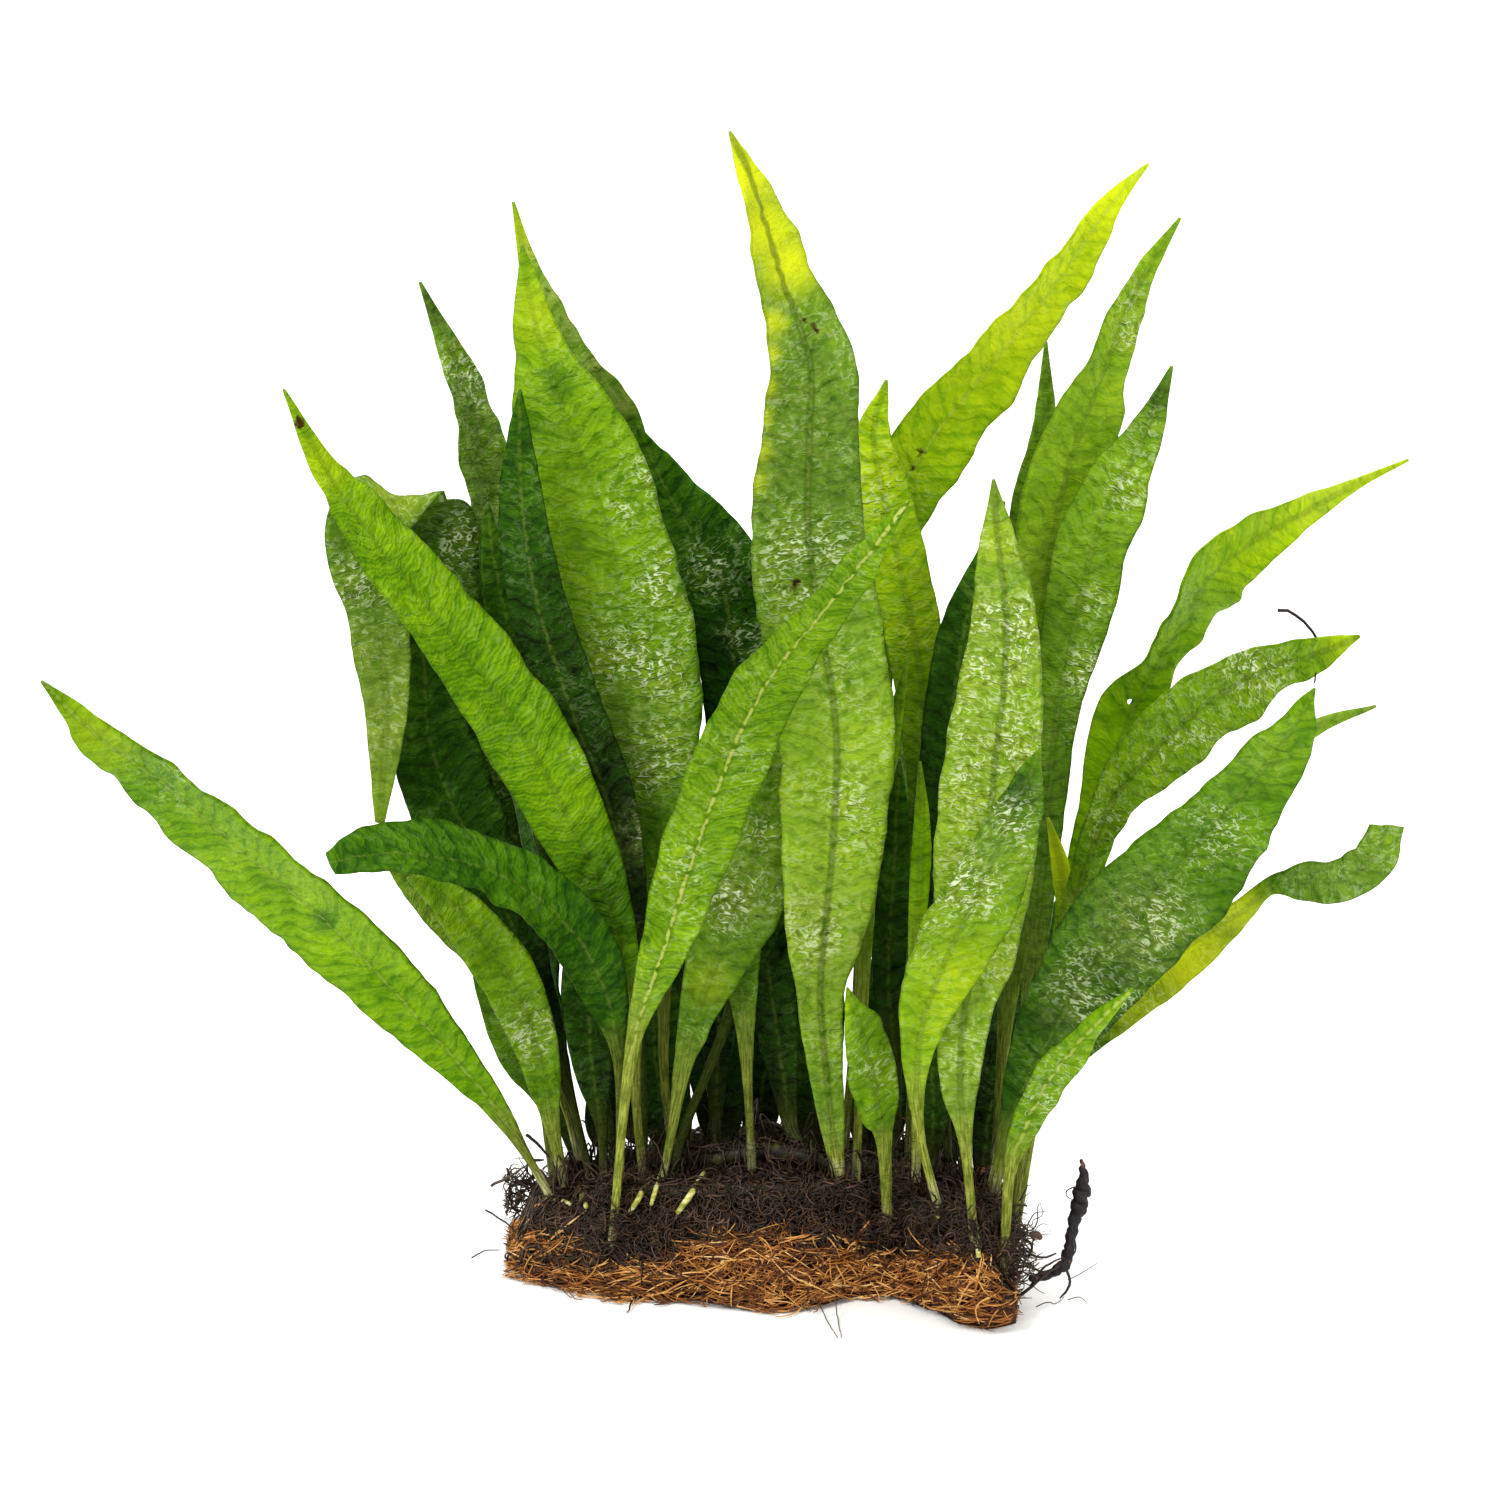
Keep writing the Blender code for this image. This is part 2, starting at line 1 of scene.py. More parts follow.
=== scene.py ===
# %% [markdown]
# # A java fern on a coir mat
# This lesson dresses a water plant: about fifty strap-shaped fronds that rise from creeping
# stems, on a dark cushion of roots, on a thin mat of coconut fibre. The solids that the parts
# rest on come from the frame. Each step below first says what the real piece is, and then
# makes it. Tables are in millimetres, and a mesh is turned into metres when it is made.

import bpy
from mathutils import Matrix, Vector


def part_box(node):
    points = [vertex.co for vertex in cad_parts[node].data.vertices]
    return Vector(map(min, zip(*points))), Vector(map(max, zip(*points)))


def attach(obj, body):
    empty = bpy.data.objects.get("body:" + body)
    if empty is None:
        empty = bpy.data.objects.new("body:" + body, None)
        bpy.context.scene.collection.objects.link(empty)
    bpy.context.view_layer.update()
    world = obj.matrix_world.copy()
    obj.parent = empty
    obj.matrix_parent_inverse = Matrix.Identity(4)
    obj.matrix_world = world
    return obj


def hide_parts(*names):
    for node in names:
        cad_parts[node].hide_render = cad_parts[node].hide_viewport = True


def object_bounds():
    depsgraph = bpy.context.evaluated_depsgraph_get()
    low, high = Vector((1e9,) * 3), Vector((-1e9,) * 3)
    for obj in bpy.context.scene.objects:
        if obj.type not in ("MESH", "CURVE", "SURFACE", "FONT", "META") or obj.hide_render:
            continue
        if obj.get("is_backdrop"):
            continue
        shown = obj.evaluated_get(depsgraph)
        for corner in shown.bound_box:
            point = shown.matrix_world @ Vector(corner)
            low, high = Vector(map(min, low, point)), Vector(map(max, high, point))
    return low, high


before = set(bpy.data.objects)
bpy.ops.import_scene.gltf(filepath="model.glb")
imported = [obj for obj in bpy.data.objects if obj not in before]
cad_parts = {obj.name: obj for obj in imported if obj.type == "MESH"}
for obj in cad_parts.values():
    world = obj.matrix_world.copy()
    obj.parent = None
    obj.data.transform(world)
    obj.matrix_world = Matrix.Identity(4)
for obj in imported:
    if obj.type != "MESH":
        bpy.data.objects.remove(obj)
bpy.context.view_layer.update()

# %% What the lesson uses
import math
import random

import bmesh
import bpy
from mathutils import Matrix, Vector, noise

MM = 0.001
BODY = "root"

# %% [markdown]
# ## The front view
# The plant is seen from a little above. Every frond below is given by where its midrib shows
# in this front view, so that the same numbers serve the eye and the mesh. One function turns
# a place in the view and a depth into a point in space, and another turns it back.

# %% The camera's numbers
TILT = math.radians(15)
REACH = 1400.0
AIM = Vector((-3.5, 0, 140))
FRAME_WIDTH = 375.0
VIEW = Vector((0, math.cos(TILT), -math.sin(TILT)))
VIEW_UP = Vector((0, math.sin(TILT), math.cos(TILT)))


def seen_at(across, up, depth):
    """The point in mm that the front view shows at (across, up), at this depth y."""
    u = across - AIM.x
    v = up - AIM.z
    sin, cos = math.sin(TILT), math.cos(TILT)
    z = (v * (REACH + depth * cos) / REACH - depth * sin) / (cos + v * sin / REACH)
    away = REACH + depth * cos - z * sin
    return Vector((AIM.x + u * away / REACH, depth, AIM.z + z))


def shown_at(point):
    """Where the front view shows a point, as (across, up)."""
    offset = point - AIM
    shrink = REACH / (REACH + offset.dot(VIEW))
    return AIM.x + offset.x * shrink, AIM.z + offset.dot(VIEW_UP) * shrink


print("there and back", [round(part, 3) for part in shown_at(seen_at(50, 80, -20))])

# %% The camera
SENSOR = 36.0
eye = bpy.data.cameras.new("front_view")
eye.sensor_width = SENSOR
eye.lens = SENSOR * REACH / FRAME_WIDTH
eye.clip_start = 0.05
viewer = bpy.data.objects.new("front_view", eye)
viewer.location = (AIM - VIEW * REACH) * MM
viewer.rotation_euler = (math.pi / 2 - TILT, 0, 0)
bpy.context.scene.collection.objects.link(viewer)
bpy.context.scene.camera = viewer
print("lens", round(eye.lens, 1), "mm")

# %% [markdown]
# ## Floor and light
# The real one was photographed on plain white, in soft light from the front and above. A wide
# pale floor and a white sky give the ground, and three softboxes give the wet leaves something
# to shine with. The standard view keeps greens as strong as they are on the plant.

# %% Colours
def linear(code):
    """A linear RGBA colour from an sRGB hex code."""
    parts = [int(code[k:k + 2], 16) / 255 for k in (1, 3, 5)]
    return (*(part / 12.92 if part <= 0.04045 else ((part + 0.055) / 1.055) ** 2.4
              for part in parts), 1)


print("mid grey", [round(part, 3) for part in linear("#808080")])


# %% Nodes
def add(tree, kind, inputs=None, stops=(), **settings):
    """Adds a shader node. The inputs give values or sockets by name or number, and the stops
    are a ramp's (place, colour code) pairs."""
    node = tree.nodes.new("ShaderNode" + kind)
    for key, value in settings.items():
        setattr(node, key, value)
    for key, value in (inputs or {}).items():
        if isinstance(value, bpy.types.NodeSocket):
            tree.links.new(value, node.inputs[key])
        else:
            node.inputs[key].default_value = value
    for k, (place, code) in enumerate(stops):
        band = node.color_ramp.elements
        stop = band[k] if k < len(band) else band.new(place)
        stop.position = place
        stop.color = linear(code)
    return node


def new_finish(name):
    """A new material with a Principled shader, as (material, its nodes, the shader)."""
    made = bpy.data.materials.new(name)
    made.use_nodes = True
    return made, made.node_tree, made.node_tree.nodes["Principled BSDF"]


# %% The floor
# Matt white paper: it gives the eye an even ground and soft shadows
paper, tree, shader = new_finish("matt_white_paper")
place = add(tree, "TexCoord")
grain = add(tree, "TexNoise", {"Vector": place.outputs["Object"], "Scale": 900.0})
tone = add(tree, "ValToRGB", {"Fac": grain.outputs["Fac"]}, ((0.3, "#fafaf9"), (0.7, "#ffffff")))
tree.links.new(tone.outputs["Color"], shader.inputs["Base Color"])
shader.inputs["Roughness"].default_value = 0.9

FLOOR_SIZE = 14.0
bm = bmesh.new()
bmesh.ops.create_grid(bm, x_segments=1, y_segments=1, size=FLOOR_SIZE / 2)
bmesh.ops.translate(bm, vec=(0, 0, -0.0002), verts=bm.verts)
floor_mesh = bpy.data.meshes.new("floor")
bm.to_mesh(floor_mesh)
bm.free()
floor_mesh.materials.append(paper)
floor = bpy.data.objects.new("floor", floor_mesh)
bpy.context.scene.collection.objects.link(floor)
floor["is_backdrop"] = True

# %% Sky and softboxes
# The sky is brightest overhead, so that upright leaves keep their own colour
sky = bpy.data.worlds.new("white_sky")
sky.use_nodes = True
heading = add(sky.node_tree, "TexCoord").outputs["Generated"]
height = add(sky.node_tree, "SeparateXYZ", {0: heading}).outputs[2]
strength = add(sky.node_tree, "MapRange", {"Value": height, "From Min": -0.1, "From Max": 0.9,
                                           "To Min": 0.12, "To Max": 1.5}).outputs[0]
dome = sky.node_tree.nodes["Background"]
dome.inputs["Color"].default_value = linear("#ffffff")
sky.node_tree.links.new(strength, dome.inputs["Strength"])
bpy.context.scene.world = sky
bpy.context.scene.view_settings.view_transform = "Standard"
bpy.context.scene.view_settings.look = "Medium High Contrast"

SOFTBOXES = (
    # name, place in metres, side of the square, watts
    ("key", Vector((-0.9, -1.0, 1.3)), 0.45, 11),
    ("fill", Vector((1.1, -1.0, 0.7)), 0.5, 2.5),
    ("rim", Vector((0.4, 0.9, 1.5)), 0.8, 6),
)
for name, spot, side, watts in SOFTBOXES:
    light = bpy.data.lights.new(name, "AREA")
    light.size = side
    light.energy = watts
    lamp = bpy.data.objects.new(name, light)
    lamp.location = spot
    lamp.rotation_euler = (AIM * MM - spot).to_track_quat("-Z", "Y").to_euler()
    bpy.context.scene.collection.objects.link(lamp)
print("softboxes", len(SOFTBOXES))


# %% [markdown]
# ## Curves through a few points
# Outlines, midribs and widths are short lists of given values. Two helpers read them: one
# joins the values of a table by smooth steps, and one runs a smooth curve through points.

# %% Reading a table and a curve
def between(table, x):
    """The value of a table of (x, value) pairs at x, joined by smooth curves."""
    for (x0, value0), (x1, value1) in zip(table, table[1:]):
        if x <= x1:
            break
    part = min(max((x - x0) / (x1 - x0), 0), 1)
    return value0 + (value1 - value0) * part * part * (3 - 2 * part)


def spline(values, t):
    """A Catmull-Rom curve through evenly spaced values (numbers or vectors), at t in 0..1."""
    last = len(values) - 1
    if last == 0:
        return values[0]
    step = min(int(t * last), last - 1)
    f = t * last - step
    b, c = values[step], values[step + 1]
    a = values[step - 1] if step > 0 else b + (b - c)
    d = values[step + 2] if step + 2 <= last else c + (c - b)
    return 0.5 * (2 * b + (c - a) * f + (2 * a - 5 * b + 4 * c - d) * f * f
                  + (3 * b - a - 3 * c + d) * f * f * f)


def smooth(x):
    """Rises smoothly from 0 to 1 as x does."""
    x = min(max(x, 0), 1)
    return x * x * (3 - 2 * x)


# %% Putting a mesh in the scene
def settle(name, bm, finishes, node=None):
    """A bmesh in mm becomes a smooth piece in metres that rides on the plant's body. Where a
    node is named, the piece stands for it."""
    bmesh.ops.scale(bm, vec=(MM, MM, MM), verts=bm.verts)
    mesh = bpy.data.meshes.new(name)
    bm.to_mesh(mesh)
    bm.free()
    mesh.shade_smooth()
    for finish in finishes:
        mesh.materials.append(finish)
    piece = bpy.data.objects.new(name, mesh)
    bpy.context.scene.collection.objects.link(piece)
    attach(piece, BODY)
    if node:
        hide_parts(node)
    return piece


# %% [markdown]
# ## The leaf finish
# A java fern's frond is a leathery green blade with a waxy skin. Wet from the tank, the little
# cushions of skin between its veins each catch a curl of light, which is what the eye reads as
# wet fern; these curls are painted into the colour as highlights, and some shade and light is
# painted in too. The finish follows the blade: each mesh carries its place across and along the
# blade in mm, and how bright, hazy, wet, golden, brown or stalk-like each spot is. Noise of
# 2 to 14 mm then breaks the green up, and faint veins and a midrib are drawn over it.

# %% The leaf's colours
# Waxy leaf skin: clear green to yellow-green, glossy where it is wet
LEAF_STOPS = ((0.0, "#061503"), (0.25, "#224c04"), (0.5, "#527d05"), (0.75, "#83a808"),
              (1.0, "#bdd014"))
UNDER_STOPS = ((0.0, "#0f2008"), (0.25, "#2f520f"), (0.5, "#5b7d1b"), (0.75, "#849e2e"),
               (1.0, "#b0c250"))
# Pale bloom of the skin, which also serves as painted sheen around the wet patches
HAZE_AND_SHEEN = "#93a052"
# Colour of the painted highlights on the wet curls
PAINTED_GLINT = "#dfe8c6"
GOLD = "#cfd81f"
BROWN = "#3f2c10"
STALK_GREEN = "#9aa04a"
STALK_FOOT = "#d3d29a"
RIB = "#b0ba60"
VEIN_STEP = 4.6


def leaf_finish(name, stops, vein_depth, roughness):
    """Waxy leaf skin, laid out by the blade's own place in mm."""
    made, tree, shader = new_finish(name)
    leaf = add(tree, "Attribute", attribute_name="leaf").outputs["Vector"]
    tint = add(tree, "Attribute", attribute_name="tint").outputs["Vector"]
    mark = add(tree, "Attribute", attribute_name="mark").outputs["Vector"]
    line = add(tree, "Attribute", attribute_name="line").outputs["Vector"]
    across, along, rim = add(tree, "SeparateXYZ", {0: leaf}).outputs
    shade, haze, wet = add(tree, "SeparateXYZ", {0: tint}).outputs
    gold, brown, stalk = add(tree, "SeparateXYZ", {0: mark}).outputs
    pale_rib, rib_shade_strength, hatch = add(tree, "SeparateXYZ", {0: line}).outputs
    flat = add(tree, "CombineXYZ", {0: across, 1: along}).outputs[0]
    wide = add(tree, "Mapping", {"Vector": flat, "Scale": (0.5, 1, 1)}).outputs[0]

    # Unevenness in patches per mm: broad, small, and lines across the blade
    blotch = add(tree, "TexNoise", {"Vector": flat, "Scale": 0.075, "Detail": 2.0}).outputs[0]
    mottle = add(tree, "TexNoise", {"Vector": flat, "Scale": 0.33, "Detail": 3.0,
                                    "Distortion": 0.6}).outputs[0]
    lines = add(tree, "TexNoise", {"Vector": wide, "Scale": 0.62, "Detail": 1.0,
                                   "Distortion": 1.0}).outputs[0]
    breaks = add(tree, "TexNoise", {"Vector": flat, "Scale": 0.5, "Detail": 0.0}).outputs[0]

    # Faint veins that lean towards the tip and wander
    side = add(tree, "Math", {0: across}, operation="ABSOLUTE").outputs[0]
    lean = add(tree, "Math", {0: side, 1: -0.5, 2: along}, operation="MULTIPLY_ADD").outputs[0]
    stray = add(tree, "Math", {0: mottle, 1: 1.2, 2: lean}, operation="MULTIPLY_ADD").outputs[0]
    stray = add(tree, "Math", {0: blotch, 1: 12.0, 2: stray}, operation="MULTIPLY_ADD").outputs[0]
    turns = add(tree, "Math", {0: stray, 1: 2 * math.pi / VEIN_STEP},
                operation="MULTIPLY").outputs[0]
    wave = add(tree, "Math", {0: turns}, operation="COSINE").outputs[0]
    vein = add(tree, "MapRange", {"Value": wave, "From Min": 0.2, "From Max": 1.0}).outputs[0]
    turns = add(tree, "Math", {0: turns, 1: 3.4}, operation="MULTIPLY").outputs[0]
    comb = add(tree, "Math", {0: turns}, operation="COSINE").outputs[0]
    comb = add(tree, "Math", {0: comb, 1: hatch}, operation="MULTIPLY").outputs[0]

    # How bright each spot is, and its green; the lines across the blade add painted shading of the
    # ridges
    level = add(tree, "Math", {0: blotch, 1: 0.4, 2: shade}, operation="MULTIPLY_ADD").outputs[0]
    level = add(tree, "Math", {0: mottle, 1: 0.2, 2: level}, operation="MULTIPLY_ADD").outputs[0]
    level = add(tree, "Math", {0: vein, 1: -0.09, 2: level}, operation="MULTIPLY_ADD").outputs[0]
    level = add(tree, "Math", {0: lines, 1: 0.2, 2: level}, operation="MULTIPLY_ADD").outputs[0]
    level = add(tree, "Math", {0: comb, 1: 0.05, 2: level}, operation="MULTIPLY_ADD").outputs[0]
    level = add(tree, "Math", {0: level, 1: 0.38}, operation="SUBTRACT").outputs[0]
    colour = add(tree, "ValToRGB", {"Fac": level}, stops).outputs["Color"]

    # Wet patches, with a pale haze: the skin's own bloom, and painted sheen in and around the wet
    # patches
    patch = add(tree, "MapRange", {"Value": blotch, "From Min": 0.42, "From Max": 0.56,
                                   "To Min": 0.25}).outputs[0]
    wetness = add(tree, "Math", {0: patch, 1: wet}, operation="MULTIPLY").outputs[0]
    veil = add(tree, "MapRange", {"Value": mottle, "From Min": 0.2, "From Max": 0.65}).outputs[0]
    film_and_sheen = add(tree, "Math", {0: wetness, 1: 0.3, 2: haze}, operation="MULTIPLY_ADD").outputs[0]
    film_and_sheen = add(tree, "Math", {0: film_and_sheen, 1: veil}, operation="MULTIPLY").outputs[0]
    colour = add(tree, "Mix", {0: film_and_sheen, 6: colour, 7: linear(HAZE_AND_SHEEN)}, data_type="RGBA").outputs[2]

    # Painted highlights: curls of light painted in where the skin is raised in ridges across the blade
    ridge = add(tree, "Math", {0: lines, 1: 0.5}, operation="SUBTRACT").outputs[0]
    ridge = add(tree, "Math", {0: ridge}, operation="ABSOLUTE").outputs[0]
    crest = add(tree, "MapRange", {"Value": ridge, "From Min": 0.065, "From Max": 0.02}).outputs[0]
    parted = add(tree, "MapRange", {"Value": breaks, "From Min": 0.38, "From Max": 0.47}).outputs[0]
    curl = add(tree, "Math", {0: crest, 1: parted}, operation="MULTIPLY").outputs[0]
    curl = add(tree, "Math", {0: curl, 1: wetness}, operation="MULTIPLY").outputs[0]
    curl = add(tree, "Math", {0: curl, 1: 0.85}, operation="MULTIPLY").outputs[0]
    colour = add(tree, "Mix", {0: curl, 6: colour, 7: linear(PAINTED_GLINT)}, data_type="RGBA").outputs[2]

    # Small pits and dark flecks in the hazy skin
    pit = add(tree, "MapRange", {"Value": breaks, "From Min": 0.36, "From Max": 0.28}).outputs[0]
    pit = add(tree, "Math", {0: pit, 1: film_and_sheen}, operation="MULTIPLY").outputs[0]
    colour = add(tree, "Mix", {0: pit, 6: colour, 7: linear("#4c6413")},
                 data_type="RGBA").outputs[2]

    # Gold, the midrib between two lines of painted shade where its furrows lie, and the stalk's paler
    # green
    colour = add(tree, "Mix", {0: gold, 6: colour, 7: linear(GOLD)}, data_type="RGBA").outputs[2]
    furrow_shade = add(tree, "MapRange", {"Value": side, "From Min": 1.3, "From Max": 0.5,
                                    "To Max": rib_shade_strength}).outputs[0]
    colour = add(tree, "Mix", {0: furrow_shade, 6: colour, 7: linear("#33500a")},
                 data_type="RGBA").outputs[2]
    rib = add(tree, "MapRange", {"Value": side, "From Min": 0.7, "From Max": 0.3,
                                 "To Max": pale_rib}).outputs[0]
    kept = add(tree, "MapRange", {"Value": breaks, "From Min": 0.38, "From Max": 0.5}).outputs[0]
    rib = add(tree, "Math", {0: rib, 1: kept}, operation="MULTIPLY").outputs[0]
    colour = add(tree, "Mix", {0: rib, 6: colour, 7: linear(RIB)}, data_type="RGBA").outputs[2]
    streak = add(tree, "Mapping", {"Vector": flat, "Scale": (2.4, 0.2, 1)}).outputs[0]
    streak = add(tree, "TexNoise", {"Vector": streak, "Scale": 1.0, "Detail": 2.0}).outputs[0]
    foot = add(tree, "MapRange", {"Value": stalk, "From Min": 1.0, "From Max": 2.0}).outputs[0]
    bark = add(tree, "Mix", {0: foot, 6: linear(STALK_GREEN), 7: linear(STALK_FOOT)},
               data_type="RGBA").outputs[2]
    dirt = add(tree, "MapRange", {"Value": streak, "From Min": 0.62, "From Max": 0.4,
                                  "To Max": 0.75}).outputs[0]
    bark = add(tree, "Mix", {0: dirt, 6: bark, 7: linear("#4e5616")}, data_type="RGBA").outputs[2]
    # Painted shade: where a frond's shade is low, its stalk is painted near black, as shade among the
    # stalks
    stalk_shade = add(tree, "MapRange", {"Value": shade, "From Min": 0.5, "From Max": 0.1,
                                 "To Max": 0.85}).outputs[0]
    bark = add(tree, "Mix", {0: stalk_shade, 6: bark, 7: linear("#1c2a08")}, data_type="RGBA").outputs[2]
    stalky = add(tree, "Math", {0: stalk, 1: 0.9}, operation="MULTIPLY", use_clamp=True).outputs[0]
    colour = add(tree, "Mix", {0: stalky, 6: colour, 7: bark}, data_type="RGBA").outputs[2]

    # Brown spots, and a thin dark line along the edge
    worn = add(tree, "Math", {0: mottle, 1: 0.5}, operation="SUBTRACT").outputs[0]
    worn = add(tree, "Math", {0: worn, 1: 2.0, 2: brown}, operation="MULTIPLY_ADD").outputs[0]
    worn = add(tree, "MapRange", {"Value": worn, "From Min": 0.45, "From Max": 0.75}).outputs[0]
    colour = add(tree, "Mix", {0: worn, 6: colour, 7: linear(BROWN)}, data_type="RGBA").outputs[2]
    edge = add(tree, "MapRange", {"Value": rim, "From Min": 0.95, "From Max": 1.0,
                                  "To Max": 0.28}).outputs[0]
    colour = add(tree, "Mix", {0: edge, 6: colour, 7: linear("#2c4207")},
                 data_type="RGBA").outputs[2]
    tree.links.new(colour, shader.inputs["Base Color"])

    # The wet skin's relief: ridges about 2 mm apart, veins, small swellings and the crest line
    relief = add(tree, "Math", {0: ridge, 1: -5.0}, operation="MULTIPLY").outputs[0]
    relief = add(tree, "Math", {0: vein, 1: vein_depth, 2: relief},
                 operation="MULTIPLY_ADD").outputs[0]
    relief = add(tree, "Math", {0: mottle, 1: 1.6, 2: relief}, operation="MULTIPLY_ADD").outputs[0]
    depth = add(tree, "Math", {0: wetness, 1: 0.7, 2: 0.3}, operation="MULTIPLY_ADD").outputs[0]
    relief = add(tree, "Math", {0: relief, 1: depth}, operation="MULTIPLY").outputs[0]
    bump = add(tree, "Bump", {"Height": relief, "Distance": 0.0005}).outputs[0]
    tree.links.new(bump, shader.inputs["Normal"])
    gloss = add(tree, "MapRange", {"Value": wetness, "To Min": roughness + 0.16,
                                   "To Max": roughness}).outputs[0]
    tree.links.new(gloss, shader.inputs["Roughness"])
    shader.inputs["IOR"].default_value = 1.33
    shader.inputs["Specular IOR Level"].default_value = 0.1
    return made


leaf_top = leaf_finish("wet_leaf_skin", LEAF_STOPS, -0.35, 0.22)
leaf_under = leaf_finish("leaf_underside", UNDER_STOPS, 0.4, 0.34)
print("leaf finishes", leaf_top.name, leaf_under.name)

# %% [markdown]
# ## The fronds
# Each frond is one strap: a round stalk that widens into a thin blade with a raised midrib, a
# shallow fold and an uneven, rippled edge. It could be sculpted one by one, but a strip laid
# along a midrib by rule is easier to keep true to the frame: its midrib, widths and turns are
# the same numbers as those of the solid that it stands for. The ripples, the quilting between
# the veins and the round section of the stalk are then added in the mesh, where they shape
# the outline from any side.

